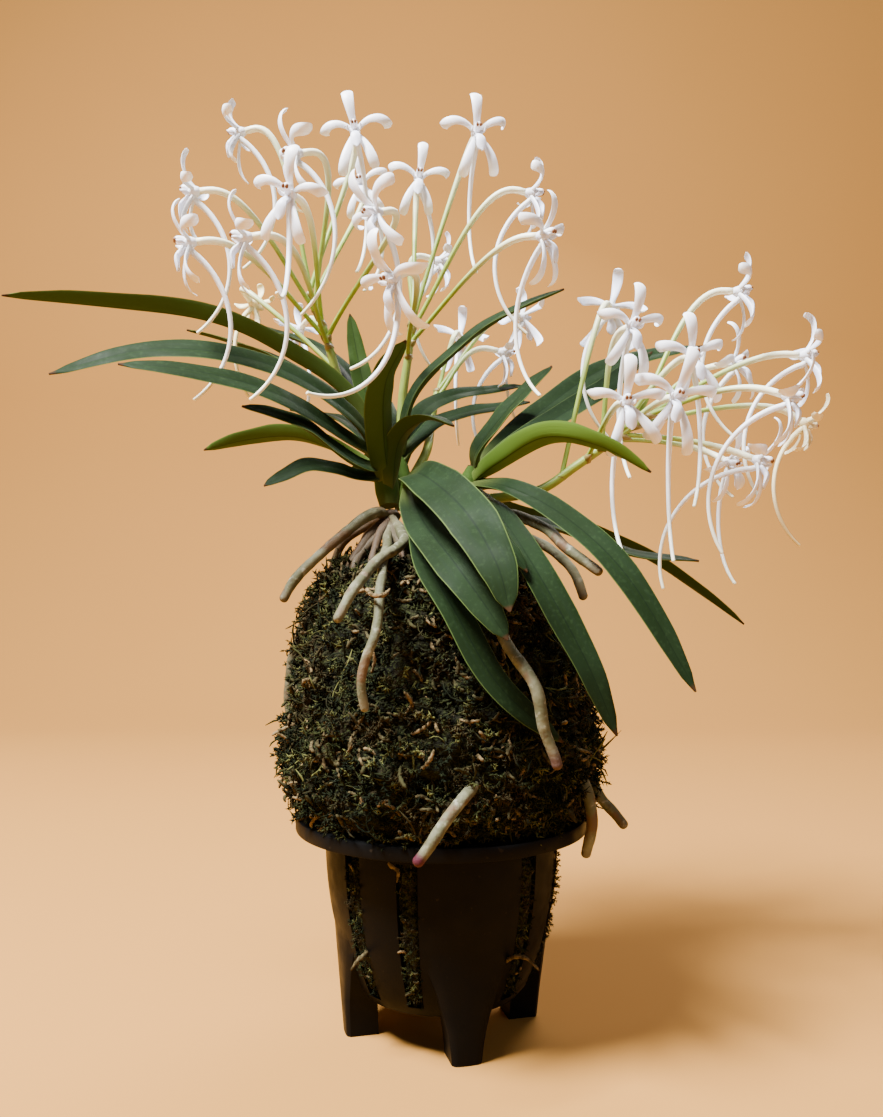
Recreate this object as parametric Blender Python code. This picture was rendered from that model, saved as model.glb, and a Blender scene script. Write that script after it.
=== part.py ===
"""A wind orchid in flower on a moss mound, in its slotted plastic pot.

Run with: blender --background --python part.py
Every size below is in millimetres and is turned into metres when a mesh is made.
"""

import math
import random

import bmesh
import bpy
import numpy as np

MM = 0.001

# Pot: a barrel of staves with a flat rim, on four tapering feet
RIM_RADIUS = 40.0
RIM_TOP = 57.6
RIM_EDGE_HEIGHT = 3.9
RIM_PLATE = 1.8
RIM_LIP = 2.0
RIM_CHAMFER = 0.8
WALL = 1.6
ROOM_OVERCUT = 0.03  # the room is cut this much wider, so its faces don't lie in the wall's
WALL_TOP_RADIUS = 32.0
FLOOR_RADIUS = 22.5
FLOOR_BOTTOM = 10.4
FLOOR_THICKNESS = 1.8
DRAIN_RADIUS = 4.0
POT_TURN = 14.3  # degrees that the front foot stands round to the right
FOOT_COUNT = 4
FOOT_DEPTH = 9.0
FOOT_CHAMFER = 1.0
FOOT_SHAPE = (  # height, half width, outer radius
    (0.0, 3.9, 26.9),
    (9.0, 5.6, 27.4),
    (17.5, 7.6, 28.0),
    (23.0, 9.8, 28.4),
    (29.0, 12.0, 28.9),
)
SLOT_HALF_ANGLE = 5.0
SLOT_ANGLES = (30.0, 60.0)  # degrees from each foot to the slots beside it
SLOT_BOTTOM = 13.0
SLOT_TOP = 51.0
SLOT_OVERCUT = 3.0
ROUND_SIDES = 28

# Moss mound: radius at each height, from the pot's floor to the top
GAP = 0.3  # left between pieces that touch
MOSS_FLOOR = FLOOR_BOTTOM + FLOOR_THICKNESS + GAP
MOSS_OUTLINE = (  # height, radius of the mound above the rim
    (RIM_TOP + GAP, 35.6),
    (RIM_TOP + 2.4, 38.4),
    (67.0, 40.6),
    (76.0, 41.8),
    (86.0, 40.0),
    (96.0, 37.4),
    (106.0, 34.8),
    (114.0, 31.6),
    (121.0, 27.0),
    (126.0, 20.6),
    (129.5, 9.0),
)
MOSS_LEAN_FROM = 84.0  # above this height the mound leans to the left
MOSS_LEAN = -0.13
MOSS_RELIEF = 1.9

# Flower: five narrow tepals, a lip, a short column and a long nectar spur
TEPAL_LENGTH = 12.8
TEPAL_WIDTH = 4.0
TEPAL_THICKNESS = 1.0
TEPAL_ANGLES = (0.0, 66.0, 138.0, -138.0, -66.0)  # round the flower's face, from the top
LIP_LENGTH = 6.4
LIP_WIDTH = 3.0
THROAT_RADIUS = 2.0
THROAT_BACK = 2.1
THROAT_CORNERS = (33.0, 102.0, 180.0, 258.0, 327.0)
SPUR_LENGTH = 44.0
SPUR_RADII = (1.1, 0.95, 0.7, 0.5)
SPUR_LEAD = 36.0  # degrees below level that a spur first runs back at
SPUR_SWEEP = 106.0
PEDICEL_RADIUS = 0.7
OVARY_RADIUS = 0.95
RACHIS_RADII = (1.5, 1.3, 1.0)

# Leaves: thick, leathery and folded along the midrib
LEAF_THICKNESS = 1.3
LEAF_FOLD_BASE = 34.0
LEAF_STATIONS = 7
LEAF_CLASP = 1.5  # how far from its stem's axis a leaf starts

# Roots: round, and tapered towards their tips
ROOT_STATIONS = 8
ROOT_SIDES = 5
ROOT_TAPER = (1.0, 1.0, 0.94, 0.88, 0.5)

# The eye that looks at the plant from the front: its distance from the pot's axis and its height
VIEW_DISTANCE = 275.0
VIEW_HEIGHT = 119.0

# The frame's origin is the middle of the whole outline, so the pot stands off it
POT_AXIS = (4.7, -7.6)

UP = np.array([0.0, 0.0, 1.0])


def seen(across, height, depth):
    """The point seen at this place against an upright plane through the pot's axis, this far behind it."""
    eye = np.array([0.0, -VIEW_DISTANCE, VIEW_HEIGHT])
    place = np.array([across, 0.0, height])
    return eye + (place - eye) * (VIEW_DISTANCE + depth) / VIEW_DISTANCE


def all_seen(points):
    return [seen(*point) for point in points]


def unit(vector):
    return vector / np.linalg.norm(vector)


def smooth_path(points, count):
    """Evenly spaced points on a smooth curve through the given ones."""
    points = np.array(points, float)
    ends = np.vstack([2 * points[0] - points[1], points, 2 * points[-1] - points[-2]])
    fine = []
    for before, a, b, after in zip(ends, ends[1:], ends[2:], ends[3:]):
        for t in np.linspace(0.0, 1.0, 16, endpoint=False):
            curve = 2 * a + (b - before) * t + (2 * before - 5 * a + 4 * b - after) * t**2
            fine.append(0.5 * (curve + (3 * a - before - 3 * b + after) * t**3))
    fine = np.array(fine + [points[-1]])
    run = np.concatenate([[0.0], np.cumsum(np.linalg.norm(np.diff(fine, axis=0), axis=1))])
    stops = np.linspace(0.0, run[-1], count)
    return np.stack([np.interp(stops, run, fine[:, i]) for i in range(3)], axis=1)


def directions(path):
    return np.array([unit(d) for d in np.gradient(path, axis=0)])


def spread(values, count):
    """Values spaced evenly along a path, read at this many stations."""
    return np.interp(np.linspace(0, 1, count), np.linspace(0, 1, len(values)), values)


def material(name, colour, roughness, metallic=0.0):
    made = bpy.data.materials.new(name)
    made.use_nodes = True
    shader = made.node_tree.nodes["Principled BSDF"]
    shader.inputs["Base Color"].default_value = (*colour, 1.0)
    shader.inputs["Roughness"].default_value = roughness
    shader.inputs["Metallic"].default_value = metallic
    return made


def new_object(name, points, faces, finish=None):
    """A mesh object from points in millimetres round the pot's axis."""
    mesh = bpy.data.meshes.new(name)
    shift = np.array([*POT_AXIS, 0.0])
    mesh.from_pydata((np.asarray(points) + shift) * MM, [], [list(f) for f in faces])
    made = bpy.data.objects.new(name, mesh)
    bpy.context.scene.collection.objects.link(made)
    if finish:
        mesh.materials.append(finish)
    return made


def loft(rings):
    """Points and faces of a closed skin over rings of equal count, capped at both ends."""
    sides = len(rings[0])
    points = [p for ring in rings for p in ring]
    faces = []
    for row in range(len(rings) - 1):
        for side in range(sides):
            a, b = row * sides + side, row * sides + (side + 1) % sides
            faces.append((a, b, b + sides, a + sides))
    faces.append(tuple(reversed(range(sides))))
    faces.append(tuple(range(len(points) - sides, len(points))))
    return points, faces


def tube(path, radii, sides, turn=0.0):
    """A round stem along a path, with a radius for each station."""
    along = directions(path)
    side = unit(np.cross(along[0], UP if abs(along[0][2]) < 0.9 else np.array([1.0, 0.0, 0.0])))
    rings = []
    for point, ahead, radius in zip(path, along, spread(radii, len(path))):
        side = unit(side - ahead * (side @ ahead))
        other = np.cross(ahead, side)
        angles = [turn + 2 * math.pi * k / sides for k in range(sides)]
        rings.append([point + radius * (side * math.cos(a) + other * math.sin(a)) for a in angles])
    return loft(rings)


def strap(path, faces_up, widths, thicknesses, folds):
    """A strap folded along its midrib: at each station a left edge, a groove, a right edge and a keel."""
    along = directions(path)
    rings = []
    for i, point in enumerate(path):
        up = unit(faces_up[i] - along[i] * (faces_up[i] @ along[i]))
        side = np.cross(along[i], up)
        half, fold = widths[i] / 2, math.radians(folds[i])
        reach = side * half * math.cos(fold)
        lift = up * half * math.sin(fold)
        thick = up * thicknesses[i] / 2
        rings.append([point - thick, point - reach + lift, point + thick, point + reach + lift])
    return loft(rings)


def fuse(name, shapes, finish):
    """One solid from overlapping shapes."""
    body = new_object(name, *shapes[0], finish)
    others = bpy.data.collections.new(name + "_shapes")
    bpy.context.scene.collection.children.link(others)
    for i, shape in enumerate(shapes[1:]):
        part = new_object(f"{name}_shape_{i}", *shape)
        bpy.context.scene.collection.objects.unlink(part)
        others.objects.link(part)
    join = body.modifiers.new("join", "BOOLEAN")
    join.operation = "UNION"
    join.operand_type = "COLLECTION"
    join.collection = others
    apply_modifiers(body)
    for part in list(others.objects):
        bpy.data.objects.remove(part)
    bpy.data.collections.remove(others)
    return body


def apply_modifiers(body):
    graph = bpy.context.evaluated_depsgraph_get()
    made = bpy.data.meshes.new_from_object(body.evaluated_get(graph))
    body.modifiers.clear()
    body.data = made


def keep_largest(body):
    """Drops loose scraps and sealed hollows: only the largest piece of skin stays."""
    work = bmesh.new()
    work.from_mesh(body.data)
    waiting, pieces = set(work.verts), []
    while waiting:
        edge_of_piece, piece = [waiting.pop()], set()
        while edge_of_piece:
            vert = edge_of_piece.pop()
            piece.add(vert)
            for edge in vert.link_edges:
                other = edge.other_vert(vert)
                if other in waiting:
                    waiting.remove(other)
                    edge_of_piece.append(other)
        pieces.append(piece)
    largest = max(pieces, key=len)
    bmesh.ops.delete(work, geom=[v for v in work.verts if v not in largest], context="VERTS")
    work.to_mesh(body.data)
    work.free()


def cut(body, shapes, solver="EXACT"):
    """Takes shapes out of a solid."""
    for i, shape in enumerate(shapes):
        cutter = new_object(f"{body.name}_cutter_{i}", *shape)
        taking = body.modifiers.new("cut", "BOOLEAN")
        taking.operation = "DIFFERENCE"
        taking.object = cutter
        taking.solver = solver
        apply_modifiers(body)
        bpy.data.objects.remove(cutter)


def shade_round(body, degrees=35.0):
    body.data.shade_smooth()
    body.data.set_sharp_from_angle(angle=math.radians(degrees))


def ring_solid(section, sides):
    """A ring from a closed (radius, height) section, listed anticlockwise as seen along the turn."""
    points, faces = [], []
    for k in range(sides):
        a = 2 * math.pi * k / sides
        points += [np.array([r * math.cos(a), r * math.sin(a), z]) for r, z in section]
    count = len(section)
    for k in range(sides):
        for i in range(count):
            a, b = k * count + i, k * count + (i + 1) % count
            c, d = ((k + 1) % sides) * count + (i + 1) % count, ((k + 1) % sides) * count + i
            faces.append((a, d, c, b))
    return points, faces


def wall_radius(height):
    """The pot's outer wall: straight under the rim, and drawn in towards the floor like a barrel."""
    share = (RIM_TOP - height) / (RIM_TOP - FLOOR_BOTTOM)
    return WALL_TOP_RADIUS - (WALL_TOP_RADIUS - FLOOR_RADIUS) * share**2.6


def pot_direction(degrees_from_front_foot):
    a = math.radians(POT_TURN + degrees_from_front_foot)
    return np.array([math.sin(a), -math.cos(a), 0.0])


def slot_block(angle):
    """A block between two angles that cuts one slot."""
    left, right = pot_direction(angle - SLOT_HALF_ANGLE), pot_direction(angle + SLOT_HALF_ANGLE)
    inner, outer = FLOOR_RADIUS - SLOT_OVERCUT, WALL_TOP_RADIUS + SLOT_OVERCUT
    corners = (left * inner, left * outer, right * outer, right * inner)
    return loft([[corner + UP * z for corner in corners] for z in (SLOT_BOTTOM, SLOT_TOP)])


def foot_block(angle):
    """A foot that tapers down from its stave, with its outer edges chamfered."""
    out = pot_direction(angle)
    side = np.array([-out[1], out[0], 0.0])
    rings = []
    for height, half, outer in FOOT_SHAPE:
        inner, cheek = outer - FOOT_DEPTH, outer - FOOT_CHAMFER
        face = half - FOOT_CHAMFER
        corners = [(inner, half), (inner, -half), (cheek, -half), (outer, -face)]
        corners += [(outer, face), (cheek, half)]
        rings.append([out * r + side * w + UP * height for r, w in corners])
    return loft(rings)


def inside_heights():
    return np.linspace(RIM_TOP, FLOOR_BOTTOM + FLOOR_THICKNESS, 5)


def make_pot(finish):
    heights = np.linspace(FLOOR_BOTTOM, RIM_TOP - RIM_PLATE, 6)
    inside = inside_heights()
    section = [(DRAIN_RADIUS, FLOOR_BOTTOM)]
    section += [(wall_radius(z), z) for z in heights]
    section += [(RIM_RADIUS - RIM_LIP, RIM_TOP - RIM_PLATE)]
    section += [(RIM_RADIUS - RIM_LIP, RIM_TOP - RIM_EDGE_HEIGHT)]
    section += [(RIM_RADIUS, RIM_TOP - RIM_EDGE_HEIGHT), (RIM_RADIUS, RIM_TOP - RIM_CHAMFER)]
    section += [(RIM_RADIUS - RIM_CHAMFER, RIM_TOP)]
    section += [(wall_radius(z) - WALL, z) for z in inside]
    section += [(DRAIN_RADIUS, FLOOR_BOTTOM + FLOOR_THICKNESS)]
    shell = ring_solid(section, ROUND_SIDES)
    quarter = 360.0 / FOOT_COUNT
    feet = [foot_block(k * quarter) for k in range(FOOT_COUNT)]
    pot = fuse("pot", [shell, *feet], finish)
    room = [(DRAIN_RADIUS / 8, inside[-1])]
    room += [(wall_radius(z) - WALL + ROOM_OVERCUT, z) for z in inside[:-4:-1]]
    room += [(DRAIN_RADIUS / 8, inside[-3])]
    slots = [slot_block(k * quarter + angle) for k in range(FOOT_COUNT) for angle in SLOT_ANGLES]
    # The exact solver leaves open edges where the room's floor lies in the pot's own floor
    cut(pot, [ring_solid(room, ROUND_SIDES), *slots], "MANIFOLD")
    keep_largest(pot)
    shade_round(pot)
    return pot


def moss_relief(angle, height, radius):
    """Lumps of moss, as a sum of waves round and up the mound."""
    if radius < 12 or height < RIM_TOP + 3:
        return 0.0
    waves = math.sin(7 * angle + height * 0.31) * math.cos(height * 0.55 - 3 * angle)
    waves += 0.7 * math.sin(13 * angle - height * 0.47) * math.sin(height * 0.83 + 5 * angle)
    waves += 0.5 * math.cos(19 * angle + height * 0.9)
    return MOSS_RELIEF * waves * 0.6


def moss_centre(height):
    return MOSS_LEAN * max(0.0, height - MOSS_LEAN_FROM)


def make_moss(finish, holes):
    inside = inside_heights()[::-1]
    outline = [(max(z, MOSS_FLOOR), wall_radius(z) - WALL - GAP) for z in inside[:-1]]
    outline += [(RIM_TOP + GAP, wall_radius(RIM_TOP) - WALL - GAP), *MOSS_OUTLINE]
    rings = []
    for height, radius in outline:
        ring = []
        for k in range(ROUND_SIDES):
            a = 2 * math.pi * k / ROUND_SIDES
            r = radius + moss_relief(a, height, radius)
            ring.append(np.array([r * math.cos(a) + moss_centre(height), r * math.sin(a), height]))
        rings.append(ring)
    moss = new_object("moss_mound", *loft(rings), finish)
    cut(moss, holes)
    keep_largest(moss)
    shade_round(moss, 80.0)
    return moss


# Every point from here on is given as it is seen: across, its height, and its depth

# Flower stalks: name, and the points that the rachis runs through
STALKS = {
    "left": [
        (-17.2, 154.4, 10), (-22, 164.8, 14), (-28.5, 176.9, 14),
        (-33.3, 192.5, 12), (-37.3, 201.3, 10),
    ],
    "middle": [(-11.3, 153.8, 15.5), (-11.1, 170.4, 16), (-9.1, 185.9, 15), (-8, 196.7, 14)],
    "back": [(-7.7, 150.4, 12), (-4.1, 157.7, 20), (-2.9, 164.8, 30), (-1.3, 174.1, 38)],
    "right": [(10.8, 143.7, 9), (26.7, 146.2, 6), (37.7, 153.2, 3), (48.1, 160.5, 0), (57.4, 167.3, -1)],
}

# Flowers on each stalk: where it is seen across and up, its depth, where its pedicel leaves the rachis
# (0 at its foot, 1 at its end), the way it faces (0 is towards the view, 90 is to the right),
# how far it nods, its roll, how far the spur swings sideways, and its size
FLOWERS = {
    "left": [
        (-57.3, 247.8, 8, 0.93, -98, 12, 10, 10, 1.0),
        (-70.2, 230.9, -12, 0.86, -92, 5, -8, 6, 0.95),
        (-71.5, 216.3, -27, 0.76, -72, 14, 6, -4, 1.0),
        (-55.7, 217.8, -34, 0.70, -80, 12, -10, 4, 1.0),
        (-41.4, 241.8, -12, 0.90, -68, 16, 0, -40, 1.1),
        (-42.8, 230.3, -38, 0.83, -18, 8, -12, 20, 0.95, 75),
        (-24.5, 248.4, 2, 1.0, 0, -4, 8, -14, 1.0),
        (-22.7, 233.2, 22, 0.96, -8, 4, 6, -40, 0.8),
        (-18.8, 224.9, -30, 0.74, -52, 20, 24, 0, 1.05, 50),
        (-52.8, 198.7, 30, 0.60, 150, 30, 0, 0, 0.72),
        (-39.8, 191.6, 58, 0.66, -150, 16, 12, 0, 0.9),
    ],
    "middle": [
        (-13.9, 206.1, -42, 0.72, -44, 30, 0, 0, 1.05, 80),
        (-6.4, 234.9, 20, 1.0, 6, -2, -6, -38, 0.9),
        (10, 247.8, 6, 0.93, 12, 0, 4, 0, 1.0),
        (25.6, 230.3, 2, 0.86, 96, 12, -6, -6, 1.0),
        (28.9, 218.3, -18, 0.80, 58, 10, 8, -20, 1.05),
        (-0.4, 210.9, 44, 0.90, 112, 12, 0, 10, 0.9),
    ],
    "back": [
        (17.6, 185.1, 44, 0.90, 96, 14, 6, 0, 0.95),
        (22.7, 195, 56, 1.0, 140, 6, -10, 0, 0.95),
        (5.2, 189.3, 72, 0.86, 172, 4, 8, 0, 0.95),
    ],
    "right": [
        (47.7, 197.8, 14, 0.46, 158, 0, 8, -45, 0.95),
        (53.6, 192.7, -16, 0.72, 18, 4, -6, -10, 1.0),
        (51.8, 171.2, -26, 0.62, 4, 10, 6, 8, 1.0),
        (65.8, 172.7, -24, 0.74, 8, 8, -14, -14, 1.05),
        (70.4, 184.2, -13, 0.80, 14, 6, 10, -40, 1.0),
        (84.1, 202.4, 4, 0.90, 84, 6, -4, 0, 1.05),
        (82.5, 182.3, 18, 0.96, 52, 0, 16, 6, 1.0),
        (102.4, 184.2, 2, 0.97, 90, 6, -6, 0, 1.05),
        (97.8, 172.7, -22, 1.0, 68, 22, 8, 20, 1.1),
        (102.2, 165, 14, 0.93, 92, 34, 0, 10, 0.9),
        (89.2, 154.6, -4, 0.84, 62, 24, -10, 6, 1.1),
        (80.8, 154.1, 14, 0.78, 40, 28, 24, 22, 1.0),
    ],
}

# Leaves of each leafy stem: width, turn of the blade about its midrib, and the points that
# the midrib runs through after the stem
LEAFY_STEMS = {
    "left": {
        "stalks": ["left"],
        "core": [(-14.7, 142, 0), (-15.5, 149.3, 2), (-16.4, 158.3, 4)],
        "leaves": [
            (9.0, 22, 40, [(-25.1, 171.2, 2), (-39.8, 182.5, 0), (-68, 195.3, -4), (-123.8, 201.5, -6)]),
            (8.4, -48, 16, [
                (-27.1, 168.4, -6), (-48.2, 181.1, -14),
                (-79.1, 185.9, -20), (-110.3, 179.2, -24),
            ]),
            (7.8, -50, 14, [
                (-27.1, 161.1, -6), (-45.3, 172.4, -22),
                (-67.8, 179.2, -30), (-90.9, 182, -34),
            ]),
            (7.0, 0, 20, [(-25.1, 167.6, 12), (-39.8, 179.7, 22), (-56.7, 187.4, 34), (-71.6, 191.6, 42)]),
            (6.6, -10, 20, [(-22.3, 171.8, 12), (-34.2, 185.9, 28), (-57.3, 194.4, 50)]),
            (8.0, -42, 18, [(-25.1, 154.4, -8), (-39.7, 165, -18), (-56, 170.1, -26)]),
            (7.4, 38, 20, [(-25.6, 156, 10), (-39.7, 161.7, 18), (-53.7, 161.1, 24), (-66.6, 157.7, 26)]),
            (6.8, -40, 14, [(-23.9, 150.4, -4), (-36.8, 153.2, -8), (-49.7, 147.6, -12)]),
            (9.6, 26, 26, [(-16.7, 163.9, -12), (-15.9, 177.5, -22), (-10, 188.8, -26)]),
            (6.6, -30, 24, [(-19.5, 166.2, 8), (-22.9, 180.3, 14), (-25.8, 196.1, 18)]),
            (7.4, 0, 18, [(-12.2, 160.5, -8), (-4.6, 166.7, -18), (3.5, 164.5, -24)]),
        ],
    },
    "middle": {
        "stalks": ["middle", "back"],
        "core": [(-10.5, 141.4, 8), (-11.6, 149.3, 10), (-12.5, 157.2, 12)],
        "leaves": [
            (7.4, 28, 26, [(-8.3, 171.2, 8), (1.3, 183.1, 8), (16.5, 195, 9), (34.5, 203.2, 10)]),
            (7.2, 34, 20, [(-6, 160.5, 14), (2.9, 166.7, 18), (24.8, 171.2, 22)]),
            (7.0, 34, 20, [(-6.6, 166.2, 22), (2.4, 172.4, 34), (23.2, 175.8, 46)]),
            (7.2, 8, 20, [(-13.9, 163.9, 22), (-16.7, 170.7, 42), (-17.3, 171.2, 66)]),
            (7.2, 0, 20, [(-6, 149.3, 24), (-1.5, 152.1, 44), (2.9, 144.8, 68)]),
            (7.0, 12, 20, [(-12.7, 152.1, 24), (-17.2, 156, 46), (-25.6, 151, 70)]),
            (6.6, -6, 20, [(-18.4, 157.2, 24), (-28.5, 166.2, 44), (-42.5, 169, 64)]),
        ],
    },
    "front": {
        "stalks": [],
        "core": [(-7.4, 137.8, -4.5), (-8.3, 143.7, -9), (-9.9, 149.9, -10)],
        "leaves": [
            (10.4, 8, 14, [(-4.6, 149.9, -26), (6.6, 140.3, -44), (15.5, 125.5, -55), (19.1, 112.4, -58)]),
            (9.6, 6, 14, [(-5.5, 138.1, -24), (3.8, 125.5, -42), (12.1, 114.1, -49), (18.5, 104.6, -52)]),
            (8.6, -6, 16, [(-4.9, 128, -26), (3.8, 111.3, -41), (16.3, 90.7, -45), (33.7, 76.3, -37)]),
            (7.6, 10, 16, [(8, 140.9, -22), (17.7, 131.1, -34), (23.9, 123.5, -38)]),
        ],
    },
    "right": {
        "stalks": ["right"],
        "core": [(5.5, 138.6, 3), (6.9, 144.5, 4), (8.5, 153.2, 5)],
        "leaves": [
            (9.4, 40, 20, [(10.8, 157.7, 0), (19.2, 169, -1), (31, 181.4, -1)]),
            (8.8, 40, 18, [(15.8, 157.7, 14), (29, 169, 26), (47.3, 180.9, 36), (73.2, 187.1, 44)]),
            (8.6, 40, 18, [(13.6, 153.8, 6), (27.6, 163.4, 12), (44.5, 174.1, 19), (59.2, 185.4, 25)]),
            (8.0, -44, 24, [(15.8, 154.4, -8), (29, 161.7, -18), (44.4, 159.4, -26), (58.7, 151.5, -30)]),
            (8.6, 30, 18, [(19.2, 146.5, -14), (34.8, 138.1, -26), (52.1, 121.3, -36), (70.8, 90.2, -42)]),
            (7.4, 24, 20, [(19.2, 139.2, 2), (33.1, 135.3, 6), (52.7, 128.6, 10), (71.9, 126.6, 12)]),
            (7.2, -10, 20, [(22, 140.3, 18), (41.5, 135.3, 30), (63.8, 124.1, 40), (84.3, 109, 46)]),
            (9.6, 16, 16, [(16.4, 138.1, -16), (27.5, 121.3, -34), (39.7, 99, -40), (48.8, 78, -40)]),
            (7.0, 0, 20, [(9.7, 146.5, 24), (16.4, 147, 44), (27.6, 142.6, 66)]),
            (7.0, -8, 20, [(16.4, 143.7, 24), (29, 143.7, 44), (44.3, 132.5, 60)]),
        ],
    },
}

# Roots that spring from each crown: the radius at the crown and the points they pass
CROWNS = {
    "left": {
        "core": [(-14.1, 137.8, -1), (-14.4, 140, 0)],
        "roots": [
            (2.2, [(-19.4, 139.8, -8), (-31.2, 131.1, -14), (-40.6, 121.3, -16), (-44.5, 115.2, -17)]),
            (2.1, [(-19.4, 137.5, 8), (-27.8, 131.1, 12), (-30, 122.4, 14), (-25.5, 114.1, 8)]),
            (2.0, [(-16.1, 135.3, -8), (-22.2, 129.1, -12), (-25, 122.7, -16), (-25, 118, -14)]),
            (2.3, [
                (-15, 132.5, -14), (-17.2, 121.3, -37), (-18.3, 106.8, -46),
                (-22.1, 94.6, -47), (-21.5, 84.6, -46),
            ]),
            (2.3, [(-10.5, 132.5, -18), (-18.3, 126.3, -34), (-25, 118.5, -44), (-30, 109.6, -48)]),
            (2.0, [(-18.3, 138.1, 18), (-22.2, 131.1, 30), (-23.9, 121.3, 30), (-23.9, 115.7, 22)]),
        ],
    },
    "right": {
        "core": [(5.5, 134.2, 3), (5.5, 136.7, 3)],
        "roots": [
            (2.2, [(16.4, 139.8, -6), (27.5, 136.4, -20), (34.8, 130.2, -28), (44.3, 123, -32)]),
            (2.1, [(16.4, 135.3, 0), (28.9, 130.8, -6), (36.4, 124.1, -10), (40, 115.7, -12)]),
            (2.3, [
                (10.2, 128, -18), (13, 118, -34), (17.7, 104.6, -43),
                (25.7, 91.3, -50), (31.8, 68.6, -49),
            ]),
            (2.0, [(3.5, 131.1, 16), (4, 122.7, 16), (4, 117.1, 8)]),
            (2.0, [(10.8, 133.6, 24), (17.5, 126.9, 38), (19.7, 110.2, 52), (17.9, 90.7, 58)]),
        ],
    },
}

# Roots that come out of the moss further down
LOOSE_ROOTS = {
    "aerial_root_front": (2.2, [(11.8, 68, -30), (7.9, 63.1, -42), (-0.4, 52.6, -50), (-7.3, 42.2, -52)]),
    "aerial_root_right_outer": (2.3, [
        (35.1, 76.3, -4), (39.6, 70.2, -6),
        (44, 61.4, -8), (51.1, 52.6, -9),
    ]),
    "aerial_root_right_inner": (2.3, [
        (34.6, 71.3, -16), (39.5, 64.7, -20),
        (41.4, 54.8, -21), (40, 44.4, -20),
    ]),
    "aerial_root_left": (2.1, [
        (-33.3, 111.8, -10), (-37.8, 109.6, -6), (-41.6, 99, -4),
        (-42.7, 87.9, -4), (-40.4, 80.2, -4),
    ]),
}


def flower_axes(facing, nod, roll):
    """The flower's own axes: the way it faces, its top and its side."""
    a, n, r = (math.radians(v) for v in (facing, nod, roll))
    face = np.array([math.sin(a) * math.cos(n), -math.cos(a) * math.cos(n), -math.sin(n)])
    side = unit(np.cross(face, UP))
    top = np.cross(side, face)
    top, side = top * math.cos(r) + side * math.sin(r), side * math.cos(r) - top * math.sin(r)
    return face, top, side


def blade(path, faces_out, widths, thicknesses):
    """A narrow petal: two edges and a keel behind at each station."""
    along = directions(path)
    rings = []
    for point, ahead, face, width, thick in zip(path, along, faces_out, widths, thicknesses):
        out = unit(face - ahead * (face @ ahead))
        side = np.cross(ahead, out)
        rings.append([point - out * thick, point - side * width / 2, point + side * width / 2])
    return loft(rings)


def tepal(centre, axes, angle, length, width, curl, stations=4):
    """A strap that starts out from the throat and curls back behind the flower's face."""
    face, top, side = axes
    a = math.radians(angle)
    out = top * math.cos(a) + side * math.sin(a)
    path, ups, point = [], [], centre + out * THROAT_RADIUS * 0.6
    for i in range(stations):
        share = i / (stations - 1)
        lean = math.radians(30.0 - curl * share)
        ahead = out * math.cos(lean) + face * math.sin(lean)
        if i:
            point = point + ahead * length / (stations - 1)
        path.append(point)
        ups.append(face * math.cos(lean) - out * math.sin(lean))
    widths = [width * w for w in spread((0.4, 0.72, 0.98, 1.0, 0.3), stations)]
    thick = [TEPAL_THICKNESS * t for t in spread((1.3, 1.1, 1.0, 0.9, 0.65), stations)]
    return blade(np.array(path), ups, widths, thick)


def spur_path(centre, spot, stations=6):
    """From under the throat, back and down, and round to the front."""
    facing, nod, roll, swing, size = spot[4:9]
    lead = spot[9] if len(spot) > 9 else SPUR_LEAD
    face, top, side = flower_axes(facing, nod, roll)
    level = unit(np.array([face[0], face[1], 0.0]))
    a = math.radians(swing)
    back = -(level * math.cos(a) + np.cross(UP, level) * math.sin(a))
    point = centre - top * 2.4 - face * 0.4
    path = [centre - top * 0.8 + face * 0.3, point]
    for i in range(1, stations - 1):
        turn = math.radians(lead + SPUR_SWEEP * (i - 0.5) / (stations - 2))
        point = point + (back * math.cos(turn) - UP * math.sin(turn)) * SPUR_LENGTH * size / (stations - 2)
        path.append(point)
    return np.array(path)


def make_bloom(name, spot, finish, luck):
    across, height, depth, _, facing, nod, roll, _, size = spot[:9]
    centre = seen(across, height, depth)
    axes = flower_axes(facing, nod, roll)
    face, top, side = axes
    corners = [math.radians(a) for a in THROAT_CORNERS]
    throat = [
        [centre + face * ahead + (top * math.cos(a) + side * math.sin(a)) * radius for a in corners]
        for ahead, radius in ((-THROAT_BACK, 1.1), (-0.9, THROAT_RADIUS), (1.8, 1.2))
    ]
    shapes = [loft(throat)]
    for angle in TEPAL_ANGLES:
        curl = luck.uniform(62, 108)
        length = TEPAL_LENGTH * size * luck.uniform(0.94, 1.06)
        shapes.append(tepal(centre, axes, angle + luck.uniform(-8, 8), length, TEPAL_WIDTH * size, curl))
    lip_root = centre - top * 0.5 + face * 0.9
    lip_bend = lip_root + (face * 0.8 - top * 0.6) * LIP_LENGTH * 0.6
    lip = [lip_root, lip_bend, lip_root + (face * 0.55 - top) * LIP_LENGTH]
    shapes.append(blade(np.array(lip), [face * 0.5 + top] * 3, (1.6, LIP_WIDTH, 1.2), (1.3, 1.1, 0.7)))
    shapes.append(tube(spur_path(centre, spot), SPUR_RADII, 3))
    bloom = fuse(name, shapes, finish)
    keep_largest(bloom)
    shade_round(bloom, 50.0)
    return bloom


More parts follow.
